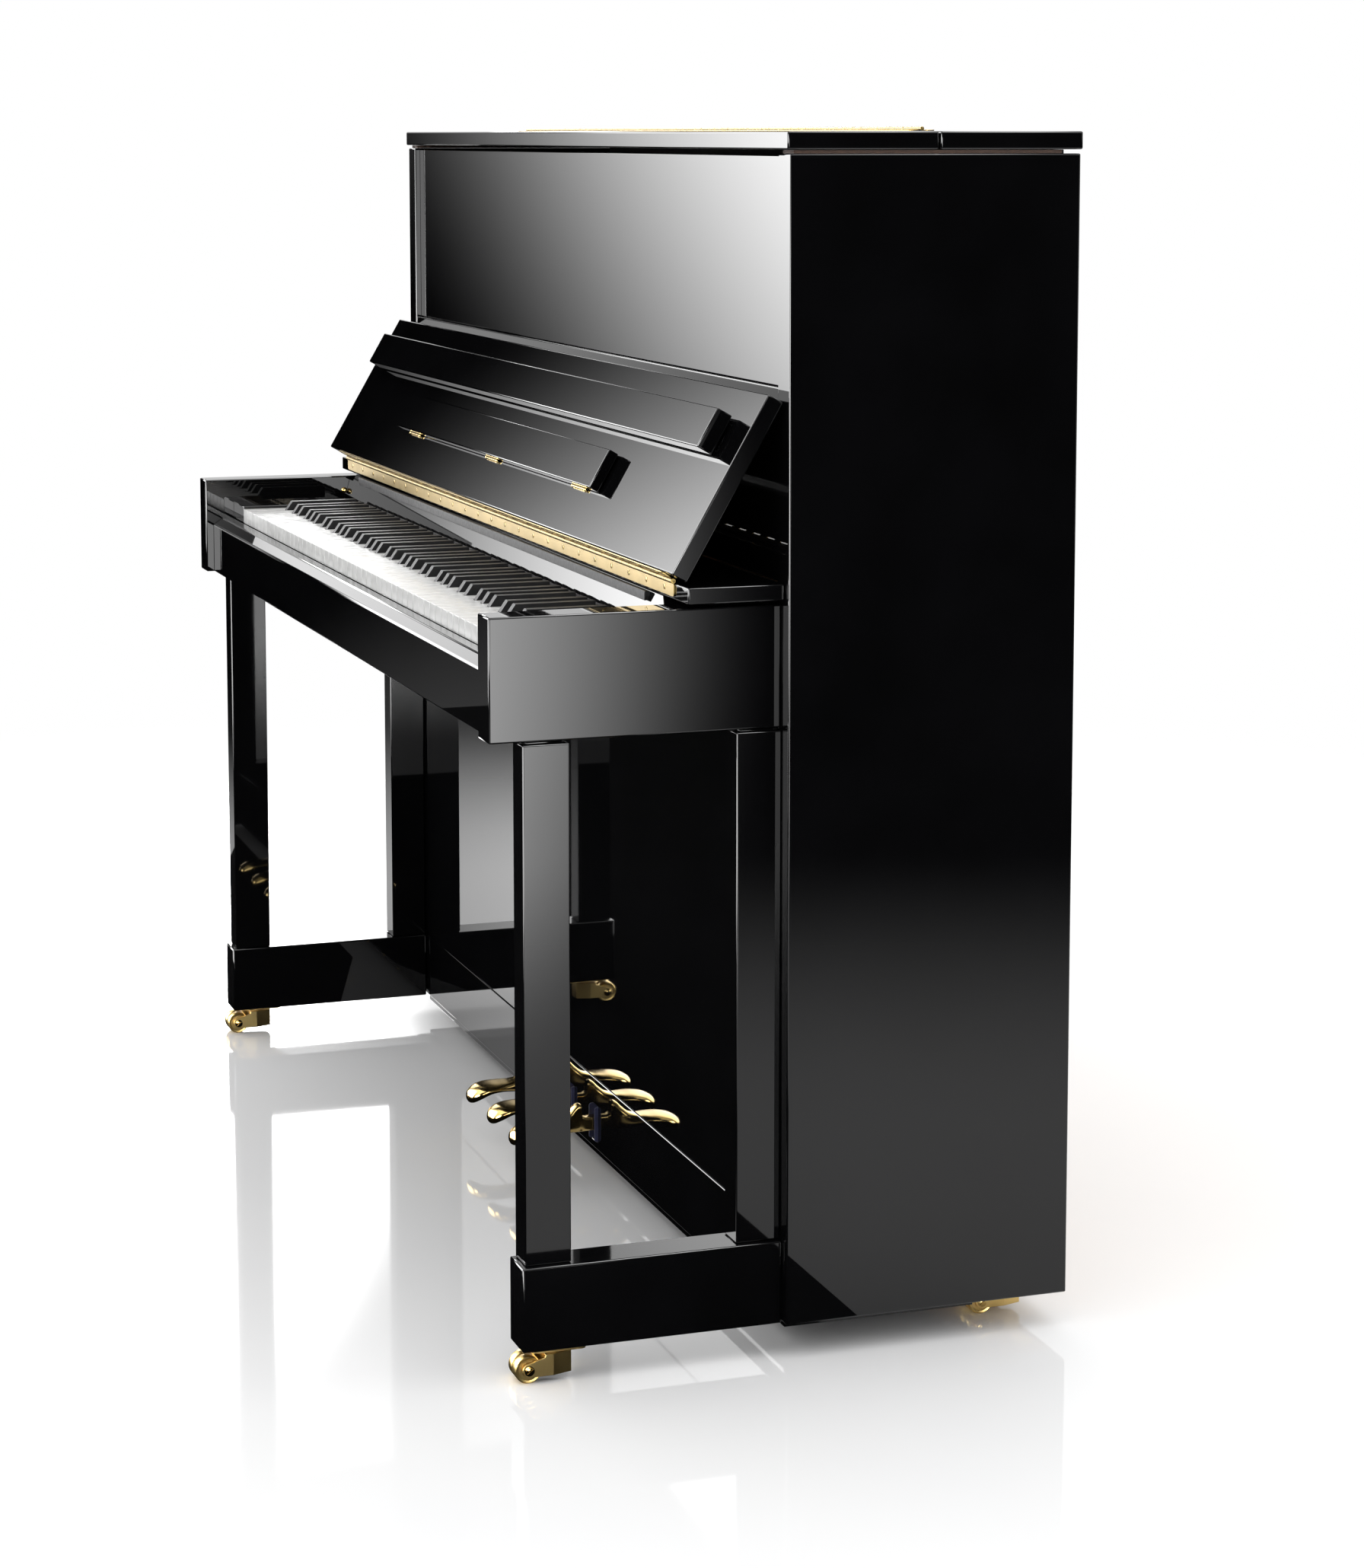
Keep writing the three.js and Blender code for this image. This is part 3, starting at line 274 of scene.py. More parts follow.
def make_brass(name, smooth, rough, dark, light):
    """Brass with warm tarnish and fine wiping marks, polished, satin, or with its colour darkened as painted
    shade.
    """
    mat, tree, bsdf = shader(name, rough, 1)
    tint(tree, noise(tree, 40, 3), bsdf, dark, light)
    vary_roughness(tree, noise(tree, 60, 4), bsdf, smooth, rough)
    bump(tree, noise(tree, 25, 1), bsdf, 0.01, 0.00005)
    return mat


def make_white_key():
    """Polished key plastic with a faint mottle."""
    mat, tree, bsdf = shader("white_key", 0.16)
    tint(tree, noise(tree, 30, 3), bsdf, (0.72, 0.72, 0.71), (0.78, 0.78, 0.77))
    vary_roughness(tree, noise(tree, 90, 3), bsdf, 0.12, 0.22)
    bump(tree, noise(tree, 700, 1), bsdf, 0.04, 0.0001)
    return mat


def make_black_key():
    """Satin black cap with a fine grain drawn out along the key."""
    mat, tree, bsdf = shader("black_key", 0.45)
    bsdf.inputs["Specular IOR Level"].default_value = 0.2
    tint(tree, noise(tree, 60, 3), bsdf, (0.010, 0.010, 0.0105), (0.018, 0.018, 0.019))
    vary_roughness(tree, noise(tree, 200, 3, (1, 0.1, 1)), bsdf, 0.38, 0.52)
    bump(tree, noise(tree, 900, 2, (1, 0.08, 1)), bsdf, 0.15, 0.0001)
    return mat


def make_wood(name, dark, light, across, roughness):
    """Timber: growth rings as warped bands, with fine fibres along the grain."""
    mat, tree, bsdf = shader(name, roughness)
    coords = tree.nodes.new("ShaderNodeTexCoord")
    mapping = tree.nodes.new("ShaderNodeMapping")
    mapping.inputs["Scale"].default_value = across
    wave = tree.nodes.new("ShaderNodeTexWave")
    wave.inputs["Scale"].default_value = 1
    wave.inputs["Distortion"].default_value = 3.5
    wave.inputs["Detail"].default_value = 3
    wave.inputs["Detail Scale"].default_value = 0.6
    tree.links.new(coords.outputs["Object"], mapping.inputs["Vector"])
    tree.links.new(mapping.outputs["Vector"], wave.inputs["Vector"])
    tint(tree, wave.outputs["Fac"], bsdf, dark, light)
    fibres = noise(tree, 30, 4, across)
    vary_roughness(tree, fibres, bsdf, roughness - 0.08, roughness + 0.1)
    bump(tree, fibres, bsdf, 0.25, 0.0004)
    return mat


def make_iron():
    """Bronze paint over a sand-cast skin."""
    mat, tree, bsdf = shader("bronzed_iron", 0.4, 0.75)
    tint(tree, noise(tree, 25, 4), bsdf, (0.34, 0.22, 0.08), (0.46, 0.32, 0.13))
    vary_roughness(tree, noise(tree, 80, 3), bsdf, 0.32, 0.5)
    bump(tree, noise(tree, 260, 3), bsdf, 0.35, 0.0006)
    return mat


def make_steel():
    mat, tree, bsdf = shader("string_steel", 0.28, 1)
    tint(tree, noise(tree, 50, 2), bsdf, (0.42, 0.43, 0.45), (0.62, 0.63, 0.65))
    vary_roughness(tree, noise(tree, 150, 2), bsdf, 0.2, 0.36)
    bump(tree, noise(tree, 900, 1, (1, 1, 3)), bsdf, 0.3, 0.0003)
    return mat


def make_copper():
    """Copper winding: a fine ribbing across the bass strings."""
    mat, tree, bsdf = shader("copper_winding", 0.3, 1)
    tint(tree, noise(tree, 60, 2), bsdf, (0.55, 0.25, 0.13), (0.75, 0.38, 0.22))
    bump(tree, noise(tree, 1200, 1, (0.1, 0.1, 3)), bsdf, 0.5, 0.0003)
    return mat


def make_felt(name, dark, light):
    """Pressed wool: soft, fuzzy at glancing angles."""
    mat, tree, bsdf = shader(name, 0.9)
    bsdf.inputs["Sheen Weight"].default_value = 0.35
    tint(tree, noise(tree, 180, 5), bsdf, dark, light)
    bump(tree, noise(tree, 900, 4), bsdf, 0.6, 0.0008)
    return mat


LACQUER = make_lacquer()
BRASS = make_brass("polished_brass", 0.12, 0.2, (0.66, 0.47, 0.17), (0.74, 0.55, 0.23))
SATIN_BRASS = make_brass("satin_brass", 0.3, 0.38, (0.66, 0.47, 0.17), (0.74, 0.55, 0.23))
# Hinge brass: the same brass with its base colour darkened below real brass as painted shade, to dim its
# reflections.
SHADED_BRASS = make_brass("shaded_brass", 0.3, 0.33, (0.20, 0.145, 0.05), (0.25, 0.18, 0.068))
WHITE_KEY = make_white_key()
BLACK_KEY = make_black_key()
SPRUCE = make_wood("spruce", (0.52, 0.33, 0.15), (0.70, 0.49, 0.26), (70, 70, 2.5), 0.45)
KEY_WOOD = make_wood("key_wood", (0.55, 0.38, 0.20), (0.72, 0.54, 0.32), (260, 8, 260), 0.55)
BEECH = make_wood("beech", (0.33, 0.20, 0.10), (0.42, 0.27, 0.145), (40, 40, 2), 0.5)
IRON = make_iron()
STEEL = make_steel()
COPPER = make_copper()
FELT = make_felt("felt", (0.62, 0.58, 0.50), (0.80, 0.77, 0.70))
DARK_FELT = make_felt("dark_felt", (0.010, 0.006, 0.008), (0.03, 0.02, 0.022))
BLUE_FELT = make_felt("blue_felt", (0.004, 0.006, 0.03), (0.012, 0.016, 0.07))
BROWN_FELT = make_felt("brown_felt", (0.035, 0.017, 0.010), (0.06, 0.03, 0.018))


# ---- Making pieces --------------------------------------------------------------------------


def settle(name, mesh, body, materials):
    """A piece of the given mesh that rides on a body and takes the given materials."""
    obj = bpy.data.objects.new(name, mesh)
    bpy.context.scene.collection.objects.link(obj)
    mesh.materials.clear()
    for material in materials:
        mesh.materials.append(material)
    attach(obj, body)
    return obj


BROAD = 1e-4  # square metres: a face over this stays flat-shaded


def round_edges(bm, width, segments):
    """Rounds every edge that turns a corner, and shades only the rounding smooth."""
    edges = [e for e in bm.edges if e.is_manifold and e.calc_face_angle() > 0.3]
    flat = {
        tuple(round(c, 3) for c in face.normal)
        for face in bm.faces
        if face.calc_area() > BROAD
    }
    rounded = bmesh.ops.bevel(
        bm,
        geom=edges,
        offset=width,
        segments=segments,
        profile=0.5,
        affect="EDGES",
        clamp_overlap=True,
    )
    for face in rounded["faces"]:
        face.smooth = True
    for face in bm.faces:
        if face.calc_area() > BROAD and tuple(round(c, 3) for c in face.normal) in flat:
            face.smooth = False


def soften(node, materials, width, pick=None, levels=(), segments=2):
    """A copy of a CAD node with its edges rounded, in place of the node.
    levels are heights to cut its faces at, and pick chooses a material for each face."""
    bm = bmesh.new()
    bm.from_mesh(frame["nodes"][node].data)
    bmesh.ops.remove_doubles(bm, verts=bm.verts, dist=1e-6)
    bmesh.ops.dissolve_limit(bm, angle_limit=0.01, verts=bm.verts, edges=bm.edges)
    if width:
        round_edges(bm, width, segments)
    for level in levels:
        geom = bm.verts[:] + bm.edges[:] + bm.faces[:]
        bmesh.ops.bisect_plane(bm, geom=geom, plane_co=(0, 0, level), plane_no=(0, 0, 1))
    for face in bm.faces:
        face.material_index = pick(face.calc_center_median(), face.normal) if pick else 0
    mesh = bpy.data.meshes.new(node + "_finish")
    bm.to_mesh(mesh)
    bm.free()
    obj = settle(node + "_finish", mesh, BODY_OF[node], materials)
    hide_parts(node)
    return obj


class Form:
    """Vertices and faces gathered for one piece."""

    def __init__(self):
        self.verts = []
        self.faces = []

    def loft(self, rings):
        """Closed skin through rings of equal count, capped at both ends."""
        start, count = len(self.verts), len(rings[0])
        for ring in rings:
            self.verts.extend(tuple(p) for p in ring)
        for r in range(len(rings) - 1):
            for i in range(count):
                a = start + r * count + i
                b = start + r * count + (i + 1) % count
                self.faces.append((a, b, b + count, a + count))
        last = start + (len(rings) - 1) * count
        self.faces.append(tuple(range(start + count - 1, start - 1, -1)))
        self.faces.append(tuple(range(last, last + count)))

    def turned(self, profile, place, sides=24):
        """A turned shape: profile holds (radius, height) up the local Z of place."""
        turn = [math.tau * i / sides for i in range(sides)]
        self.loft(
            [
                [place @ Vector((r * math.cos(t), r * math.sin(t), h)) for t in turn]
                for r, h in profile
            ]
        )

    def plate(self, outline, place, thickness, edge=0.0002):
        """A flat plate of a counter-clockwise outline, its rims eased by edge."""
        middle = sum((Vector(p) for p in outline), Vector((0, 0))) / len(outline)
        levels = [(edge, 0), (0, edge), (0, thickness - edge), (edge, thickness)]
        rings = []
        for inset, height in levels:
            ring = []
            for point in outline:
                out = Vector(point) - middle
                reach = Vector(
                    (out.x - math.copysign(inset, out.x), out.y - math.copysign(inset, out.y))
                )
                ring.append(place @ Vector((*(middle + reach), height)))
            rings.append(ring)
        self.loft(rings)

    def piece(self, name, body, materials, sharp=35):
        mesh = bpy.data.meshes.new(name)
        mesh.from_pydata(self.verts, [], self.faces)
        bm = bmesh.new()
        bm.from_mesh(mesh)
        bmesh.ops.recalc_face_normals(bm, faces=bm.faces)
        bm.to_mesh(mesh)
        bm.free()
        mesh.shade_smooth()
        mesh.set_sharp_from_angle(angle=math.radians(sharp))
        return settle(name, mesh, body, materials)


def facing(origin, across, outward):
    """A matrix at origin whose X runs along across and whose Z points outward."""
    z = Vector(outward).normalized()
    x = Vector(across).normalized()
    y = z.cross(x)
    rotation = Matrix((x, y, z)).transposed().to_4x4()
    return Matrix.Translation(origin) @ rotation


def rounded_outline(width, height, radius, steps=5):
    """A rectangle about the origin with round corners, counter-clockwise."""
    points = []
    corners = [(1, 1, 0), (-1, 1, 90), (-1, -1, 180), (1, -1, 270)]
    for sx, sy, first in corners:
        cx, cy = sx * (width / 2 - radius), sy * (height / 2 - radius)
        for i in range(steps + 1):
            a = math.radians(first + 90 * i / steps)
            points.append((cx + radius * math.cos(a), cy + radius * math.sin(a)))
    return points


def add_screw(form, place, radius=3.1 * MM, height=0.5 * MM, slot=0.45 * MM):
    """A slotted screw head: a seat and two half discs with the slot between them."""
    form.turned([(radius, 0), (radius, height * 0.35)], place, 16)
    low = math.asin(slot / radius)
    for side in (0, math.pi):
        rings = []
        for scale, level in ((1, height * 0.3), (0.98, height * 0.8), (0.9, height)):
            arc = [low + (math.pi - 2 * low) * i / 9 + side for i in range(10)]
            rings.append(
                [
                    place @ Vector((radius * scale * math.cos(a), radius * scale * math.sin(a), level))
                    for a in arc
                ]
            )
        form.loft(rings)


def spaced(first, last, count):
    return [first + (last - first) * i / (count - 1) for i in range(count)]


# ---- Case -----------------------------------------------------------------------------------

# Edge rounding of each lacquered piece, in millimetres.
LACQUERED = {
    "side_panel_left": 1.6,
    "side_panel_right": 1.6,
    "lid_front": 1.8,
    "lid_rear": 1.8,
    "upper_panel": 0.8,
    "upper_sill": 0.9,
    "fallboard_backing": 0.8,
    "fallboard_shelf": 1.5,
    "fallboard": 1.5,
    "fallboard_lip": 1.4,
    "music_shelf": 1.3,
    "nameboard": 0.9,
    "key_slip": 1.6,
    "key_block_left": 0.9,
    "key_block_right": 0.9,
    "arm_left": 1.8,
    "arm_right": 1.8,
    "leg_front_left": 1.7,
    "leg_front_right": 1.7,
    "leg_rear_left": 1.7,
    "leg_rear_right": 1.7,
    "toe_block_left": 1.8,
    "toe_block_right": 1.8,
    "lower_panel": 0.9,
    "bottom_rail": 0.9,
    "bottom_board": 0.8,
}
CARRIED_OVER = {
    "back_frame": BEECH,
    "soundboard": SPRUCE,
    "iron_plate": IRON,
    "action_frame": BEECH,
    "muffler_rail": FELT,
}


def finish_case():
    for node, width in LACQUERED.items():
        soften(node, [LACQUER], width * MM)
    soften("key_bed", [LACQUER, BEECH], 0.6 * MM, key_bed_faces)
    for node, material in CARRIED_OVER.items():
        obj = frame["nodes"][node]
        if not obj.material_slots:
            obj.data.materials.append(material)
        for place in obj.material_slots:
            place.material = material


def key_bed_faces(centre, normal):
    """Black outside and along the front, where it shows past the keys, and bare inside."""
    outside = normal.z < -0.5 or centre[1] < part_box("key_C4")[0][1] + 60 * MM
    return 0 if outside else 1


def add_strips():
    """Felt under the nameboard, and the lid's rest strips on the side panels."""
    low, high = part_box("nameboard")
    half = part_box("key_block_right")[0][0] - 3 * MM
    form = Form()
    place = facing((0, low[1] + 7 * MM, low[2] - 2.4 * MM), (1, 0, 0), (0, 0, 1))
    form.plate(rounded_outline(2 * half, 12 * MM, 2 * MM), place, 2.2 * MM, 0.5 * MM)
    form.piece("nameboard_felt", "case", [DARK_FELT])
    top = high[2] - 5.2 * MM
    form = Form()
    place = facing((0, low[1] + 8 * MM, top), (1, 0, 0), (0, -1, 0))
    form.plate(rounded_outline(2 * half, 9.6 * MM, 1 * MM), place, 6 * MM, 0.5 * MM)
    form.piece("nameboard_trim", "case", [BLACK_KEY])
    lid_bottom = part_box("lid_rear")[0][2]
    for side in ("left", "right"):
        low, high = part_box("side_panel_" + side)
        start, end = low[1] + 4 * MM, high[1] - 20 * MM
        middle = ((low[0] + high[0]) / 2, (start + end) / 2, high[2] + 0.1 * MM)
        outline = rounded_outline(high[0] - low[0] - 3 * MM, end - start, 1 * MM)
        form = Form()
        place = facing(middle, (1, 0, 0), (0, 0, 1))
        form.plate(outline, place, lid_bottom - high[2] - 0.4 * MM, 0.4 * MM)
        form.piece("lid_rest_" + side, "case", [BROWN_FELT])
    low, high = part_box("back_frame")
    strip = 30 * MM
    middle = (0, high[1] - strip / 2 - 2 * MM, high[2] + 0.1 * MM)
    form = Form()
    outline = rounded_outline(high[0] - low[0] - 4 * MM, strip, 1 * MM)
    form.plate(
        outline,
        facing(middle, (1, 0, 0), (0, 0, 1)),
        lid_bottom - high[2] - 0.4 * MM,
        0.4 * MM,
    )
    form.piece("lid_rest_back", "case", [DARK_FELT])


def add_bumpers():
    """Small brass pins on the arms' inner faces that stop the nameboard."""
    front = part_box("nameboard")[0][1]
    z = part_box("nameboard")[0][2] + 7.5 * MM
    for side, inward in (("left", 1), ("right", -1)):
        low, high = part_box("arm_" + side)
        x = high[0] if inward > 0 else low[0]
        form = Form()
        place = facing((x, front - 1.6 * MM, z), (0, 1, 0), (inward, 0, 0))
        profile = [(4, 0), (4, 1), (2.6, 1.4), (2.6, 6), (2, 7), (0.6, 7.3)]
        form.turned([(r * MM, h * MM) for r, h in profile], place, 20)
        form.piece("nameboard_pin_" + side, "case", [BRASS])


# ---- Keyboard -------------------------------------------------------------------------------

WHITE_COVER = 2.4 * MM
SINGLE_WHITE = ("key_C4", "key_D4", "key_E4", "key_F4")
SINGLE_BLACK = ("key_C_sharp_4", "key_D_sharp_4")


def finish_keys():
    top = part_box("key_C4")[1][2]
    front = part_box("key_C4")[0][1]

    def white_faces(centre, normal):
        covered = centre[2] > top - WHITE_COVER - 0.1 * MM
        return 0 if covered or centre[1] < front + 1.5 * MM else 1

    for node in ("white_keys_bass", "white_keys_treble", *SINGLE_WHITE):
        soften(node, [WHITE_KEY, KEY_WOOD], 0.5 * MM, white_faces, [top - WHITE_COVER])
    for node in ("black_keys_bass", "black_keys_treble", *SINGLE_BLACK):
        soften(node, [BLACK_KEY], 0.9 * MM)


# ---- Hinges ---------------------------------------------------------------------------------


def add_long_hinge(name, nodes, bodies, leaves, axis, half, radius, count, screws):
    """A continuous hinge: knuckles in turn on the two bodies, and two screwed leaves.
    leaves gives for each body the leaf's middle, outward normal, width and thickness."""
    edges = spaced(-half, half, count + 1)
    for parity in (0, 1):
        middle, outward, width, thickness = leaves[parity]
        place = facing(middle, (1, 0, 0), outward)
        across = (place.inverted() @ Vector((0, *axis))).y
        form = Form()
        form.plate(rounded_outline(2 * half, width, 3 * MM), place, thickness, 0.15 * MM)
        for i in range(parity, count, 2):
            start, end = edges[i] + 0.3 * MM, edges[i + 1] - 0.3 * MM
            knuckle(form, start, end, radius, *axis)
            rim = math.copysign(width / 2 - 0.5 * MM, across)
            tab = [(start, min(rim, across)), (end, min(rim, across))]
            tab += [(end, max(rim, across)), (start, max(rim, across))]
            form.plate(tab, place, thickness, 0.1 * MM)
        for x in spaced(-half + 28 * MM, half - 28 * MM, screws):
            head = place @ Matrix.Translation((x, 0, thickness - 0.1 * MM))
            add_screw(form, head @ Matrix.Rotation(0.9 + 40 * x, 4, "Z"), 2.9 * MM)
        # The hinges take the brass whose colour is darkened as painted shade.
        obj = form.piece(name + ("_fixed", "_moving")[parity], bodies[parity], [SHADED_BRASS])
        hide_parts(nodes[parity])


def knuckle(form, start, end, radius, y, z):
    """One hinge knuckle along X with eased ends."""
    place = facing((start, y, z), (0, 1, 0), (1, 0, 0))
    length, ease = end - start, 0.25 * MM
    profile = [(radius - ease, 0), (radius, ease), (radius, length - ease), (radius - ease, length)]
    form.turned(profile, place, 20)


def joint_place(name):
    joint = next(j for j in frame["joints"] if j["name"] == name)
    return Vector(joint["pos_m"])


FALLBOARD_LEAN = math.radians(60)
UP_BOARD = Vector((0, math.cos(FALLBOARD_LEAN), math.sin(FALLBOARD_LEAN)))
OUT_OF_BOARD = Vector((0, -math.sin(FALLBOARD_LEAN), math.cos(FALLBOARD_LEAN)))


def add_fallboard_hinge():
    axis = joint_place("fallboard_close")
    shelf_low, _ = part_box("fallboard_shelf")
    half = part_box("fallboard_hinge_leaf")[1][0]
    fixed_bottom = shelf_low[2] + 3 * MM
    fixed_top = axis.z - 1 * MM
    fixed = (0, shelf_low[1] - 0.4 * MM, (fixed_bottom + fixed_top) / 2)
    moving = axis + UP_BOARD * 2.8 * MM + OUT_OF_BOARD * 9.6 * MM
    leaves = [
        (fixed, (0, -1, 0), fixed_top - fixed_bottom, 1.2 * MM),
        (moving, -UP_BOARD, 12.8 * MM, 1.2 * MM),
    ]
    nodes = ("fallboard_hinge", "fallboard_hinge_leaf")
    add_long_hinge(
        "fallboard_hinge", nodes, ("case", "fallboard"), leaves, axis.yz, half, 2.7 * MM, 61, 24
    )


def add_lid_hinge():
    axis = joint_place("lid_fold")
    leaf_low, leaf_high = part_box("lid_hinge_leaf")
    half = leaf_high[0]
    width = leaf_high[1] - leaf_low[1]
    front = (0, (leaf_low[1] + leaf_high[1]) / 2, leaf_low[2])
    rear = (0, 2 * axis.y - front[1], leaf_low[2])
    leaves = [(rear, (0, 0, 1), width, 1.2 * MM), (front, (0, 0, 1), width, 1.2 * MM)]
    nodes = ("lid_hinge", "lid_hinge_leaf")
    add_long_hinge("lid_hinge", nodes, ("case", "lid_flap"), leaves, axis.yz, half, 2.1 * MM, 61, 20)


def add_shelf_hinges():
    """Three small barrels with round tips under the folding music shelf."""
    axis = joint_place("music_shelf_fold")
    radius, length = 1.8 * MM, 42 * MM
    for name, x in (("left", -0.355), ("middle", 0.0), ("right", 0.345)):
        middle = Vector((x, axis.y, axis.z))
        form = Form()
        start = middle - Vector((length / 2, 0, 0))
        tip = [(0.4, -3.4), (1.5, -2.9), (1.9, -1.9), (1.5, -0.9), (0.9, -0.5), (0.9, 0)]
        profile = [(r * MM, h * MM) for r, h in tip]
        profile += [(radius, 0.1 * MM), (radius, length - 0.1 * MM)]
        profile += [(r * MM, length - h * MM) for r, h in reversed(tip)]
        form.turned(profile, facing(start, (0, 1, 0), (1, 0, 0)), 20)
        seat = middle - OUT_OF_BOARD * 2.2 * MM
        outline = rounded_outline(length - 2 * MM, 5 * MM, 1 * MM)
        form.plate(outline, facing(seat, (1, 0, 0), OUT_OF_BOARD), 1.6 * MM)
        form.piece("music_shelf_hinge_" + name, "fallboard", [BRASS])


# ---- Pedals ---------------------------------------------------------------------------------

# Stations from the tip back, in millimetres: distance, half width, top and underside over or
# under the pad's top, and how square the section is.
PEDAL_STATIONS = [
    (0.3, 5.0, -14.0, -19.5, 2.0),
    (2.5, 12.0, -9.0, -22.5, 2.1),
    (7.0, 17.0, -5.2, -22.5, 2.3),
    (15.0, 20.8, -2.0, -18.5, 2.5),
    (27.0, 22.0, -0.6, -12.6, 2.7),
    (42.0, 20.0, 0.0, -11.0, 2.8),
    (55.0, 15.6, 1.0, -12.6, 2.8),
    (65.0, 11.2, 4.6, -14.4, 2.9),
    (73.0, 8.7, 11.0, -15.0, 3.2),
    (79.0, 7.5, 17.0, -15.0, 4.0),
    (84.0, 7.0, 19.6, -14.6, 5.0),
    (86.5, 7.0, 18.6, -14.4, 6.0),
    (88.0, 7.0, 5.0, -14.2, 6.0),
    (92.0, 7.0, 3.0, -14.0, 6.0),
    (150.0, 7.0, 3.0, -13.0, 6.0),
    (237.0, 7.0, 3.0, -12.0, 6.0),
]
SHOULDER_START = 10


def between(stations, steps):
    """The stations with smooth ones put in between, up to the shoulder."""
    rows = []
    for i in range(len(stations) - 1):
        before, a, b, after = (stations[max(0, min(len(stations) - 1, i + k))] for k in (-1, 0, 1, 2))
        count = steps if i < SHOULDER_START else 1
        for step in range(count):
            t = step / count
            rows.append(
                [
                    0.5
                    * (
                        2 * q
                        + (r - p) * t
                        + (2 * p - 5 * q + 4 * r - s) * t**2
                        + (3 * q - p - 3 * r + s) * t**3
                    )
                    for p, q, r, s in zip(before, a, b, after)
                ]
            )
    return rows + [stations[-1]]


def add_pedals():
    """Brass pedals: a domed pad with a rolled tip, a waist, a shoulder and a flat stem."""
    for name in ("left", "middle", "right"):
        low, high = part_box("pedal_" + name)
        x, tip = (low[0] + high[0]) / 2, low[1] + 1.2 * MM
        top = high[2] - 20 * MM
        rings = []
        for along, half, over, under, square in between(PEDAL_STATIONS, 5):
            centre, rise = (over + under) / 2, (over - under) / 2
            ring = []
            for k in range(32):
                c, s = math.cos(math.tau * k / 32), math.sin(math.tau * k / 32)
                out = math.copysign(abs(c) ** (2 / square), c) * half
                lift = math.copysign(abs(s) ** (2 / square), s) * rise
                ring.append((x + out * MM, tip + along * MM, top + (centre + lift) * MM))
            rings.append(ring)
        form = Form()
        form.loft(rings)
        obj = form.piece(f"pedal_{name}_cast", "pedal_" + name, [BRASS], 40)
        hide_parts("pedal_" + name)


def add_pedal_felts():
    """Blue felt cheeks inside the pedal slots of the bottom rail."""
    low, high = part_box("bottom_rail")
    thickness, height = 1.6 * MM, 42 * MM
    for name in ("left", "middle", "right"):
        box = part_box("pedal_" + name)
        x = (box[0][0] + box[1][0]) / 2
        for side in (-1, 1):
            wall = Vector((x + side * 11.4 * MM, (low[1] + high[1]) / 2 - 2 * MM, 67 * MM))
            form = Form()
            outline = rounded_outline(high[1] - low[1] + 4 * MM, height, 3 * MM)
            form.plate(outline, facing(wall, (0, 1, 0), (-side, 0, 0)), thickness, 0.4 * MM)
            end = "left" if side < 0 else "right"
            form.piece(f"pedal_{name}_felt_{end}", "case", [BLUE_FELT])


# ---- Casters --------------------------------------------------------------------------------

WHEEL_SIDE = [
    (3.2, 15.4),
    (3.2, 13.0),
    (5.4, 13.0),
    (5.9, 12.6),
    (6.2, 11.8),
    (10.2, 11.8),
    (10.7, 12.5),
    (12.6, 12.9),
    (13.5, 12.4),
    (14.0, 11.2),
    (14.0, 2.8),
    (13.5, 1.7),
    (12.4, 1.1),
    (8.0, 1.1),
]


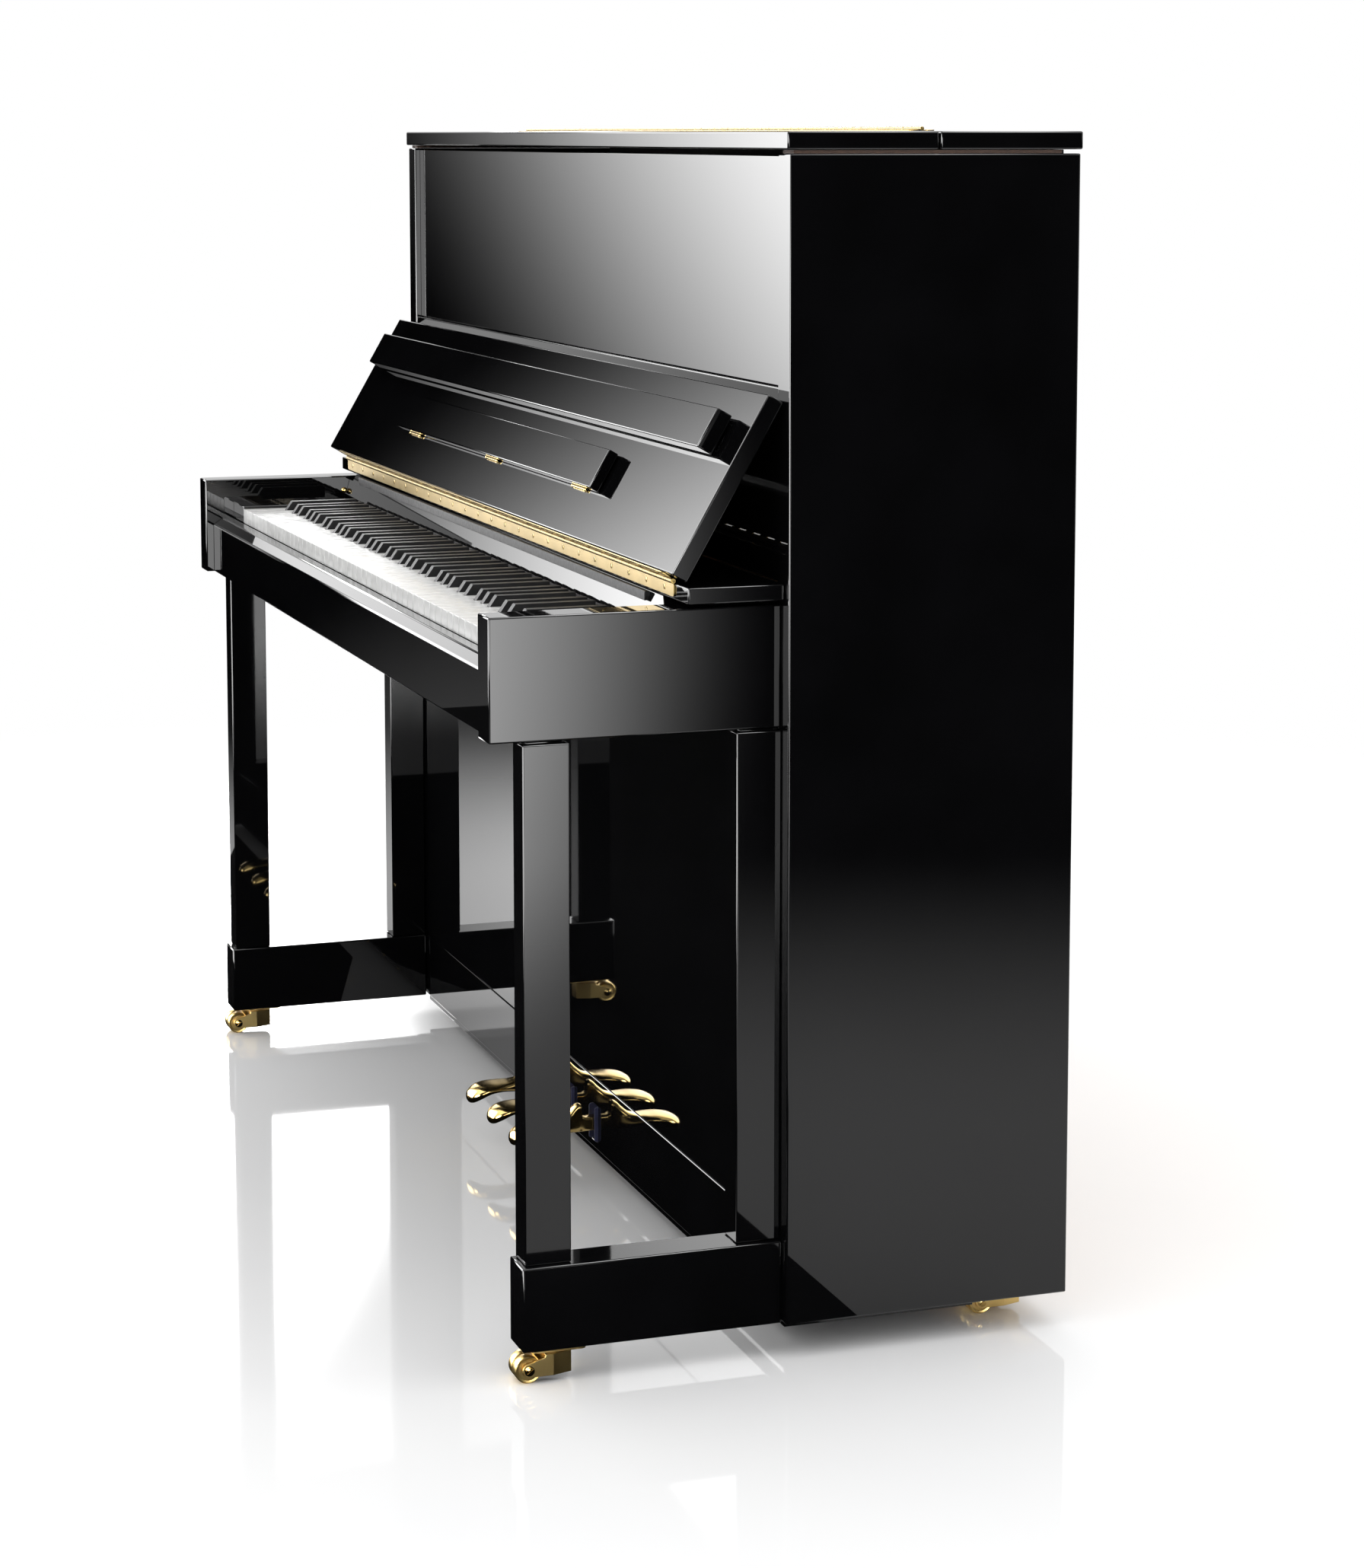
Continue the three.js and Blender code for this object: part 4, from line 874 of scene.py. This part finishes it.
def add_casters():
    """Double brass wheels, softened forks with axle screws, and top plates."""
    for place in ("front_left", "front_right", "rear_left", "rear_right"):
        low, high = (Vector(p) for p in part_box("caster_wheels_" + place))
        hub = (low + high) / 2
        form = Form()
        profile = [(r * MM, -h * MM) for r, h in WHEEL_SIDE]
        profile += [(r * MM, h * MM) for r, h in reversed(WHEEL_SIDE)]
        form.turned(profile, facing(hub, (0, 1, 0), (1, 0, 0)), 48)
        wheels = form.piece(
            "caster_wheels_turned_" + place, "wheels_" + place, [SATIN_BRASS], 28
        )
        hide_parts("caster_wheels_" + place)

        fork = "caster_fork_" + place
        soften(fork, [SATIN_BRASS], 0.45 * MM)
        form = Form()
        for side in (-1, 1):
            face = hub + Vector((side * 15.95 * MM, 0, 0))
            seat = facing(face, (0, 1, 0), (side, 0, 0))
            form.turned([(r * MM, h * MM) for r, h in ((5.2, 0), (5.2, 0.5), (4.9, 0.7))], seat, 24)
            turned = seat @ Matrix.Translation((0, 0, 0.5 * MM)) @ Matrix.Rotation(0.6, 4, "Z")
            add_screw(form, turned, 3.9 * MM, 1 * MM)
        form.piece("caster_axle_heads_" + place, "caster_" + place, [BRASS])

        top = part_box(fork)[1][2] + 0.3 * MM
        middle = (hub.x, hub.y + 30 * MM, top - 1.8 * MM)
        form = Form()
        under = facing(middle, (1, 0, 0), (0, 0, 1))
        form.plate(rounded_outline(40 * MM, 56 * MM, 5 * MM), under, 1.8 * MM)
        for x in (-14, 14):
            for y in (-21, 21):
                flipped = under @ Matrix.Translation((x * MM, y * MM, 0.1 * MM))
                add_screw(form, flipped @ Matrix.Rotation(math.pi, 4, "X"), 2.8 * MM)
        form.piece("caster_plate_" + place, "case", [SATIN_BRASS])


# ---- Inside the case ------------------------------------------------------------------------

NOTE_PITCH = 13.9 * MM
BASS_BREAK = -0.26
HAMMER_FELT_DEPTH = 34 * MM
DAMPER_FELT_DEPTH = 38 * MM


def finish_action():
    """Felt heads on wooden hammer and damper shanks, and copper-wound bass strings."""
    hammer_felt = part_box("hammers")[1][2] - HAMMER_FELT_DEPTH
    damper_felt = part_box("dampers")[1][2] - DAMPER_FELT_DEPTH
    soften("hammers", [FELT, BEECH], 0, lambda c, n: int(c.z < hammer_felt), [hammer_felt])
    soften("dampers", [FELT, BEECH], 0, lambda c, n: int(c.z < damper_felt), [damper_felt])
    soften("strings", [STEEL, COPPER], 0, lambda c, n: int(c.x < BASS_BREAK))


def add_tuning_pins():
    """Two staggered steel pins to a note, each with its coil of wire."""
    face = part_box("iron_plate")[0][1]
    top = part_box("strings")[1][2]
    coil = [(3.5, 0), (3.5, 6), (4.3, 6.4), (4.3, 10.6), (3.4, 11), (3.4, 21), (2.7, 23)]
    profile = [(r * MM, h * MM) for r, h in coil]
    form = Form()
    for note in range(88):
        x = (note - 43.5) * NOTE_PITCH
        for row, across in ((0, -3.2), (1, 3.2)):
            z = top + (18 + 15 * ((note + row) % 3) + 46 * row) * MM
            place = facing((x + across * MM, face, z), (1, 0, 0), (0, -1, 0))
            form.turned(profile, place, 8)
    form.piece("tuning_pins", "case", [STEEL])


# ---- Scene ----------------------------------------------------------------------------------

add_camera()
add_room()
add_floor()
add_dark_card()
finish_case()
add_strips()
add_bumpers()
finish_keys()
add_fallboard_hinge()
add_lid_hinge()
add_shelf_hinges()
add_pedals()
add_pedal_felts()
add_casters()
finish_action()
add_tuning_pins()
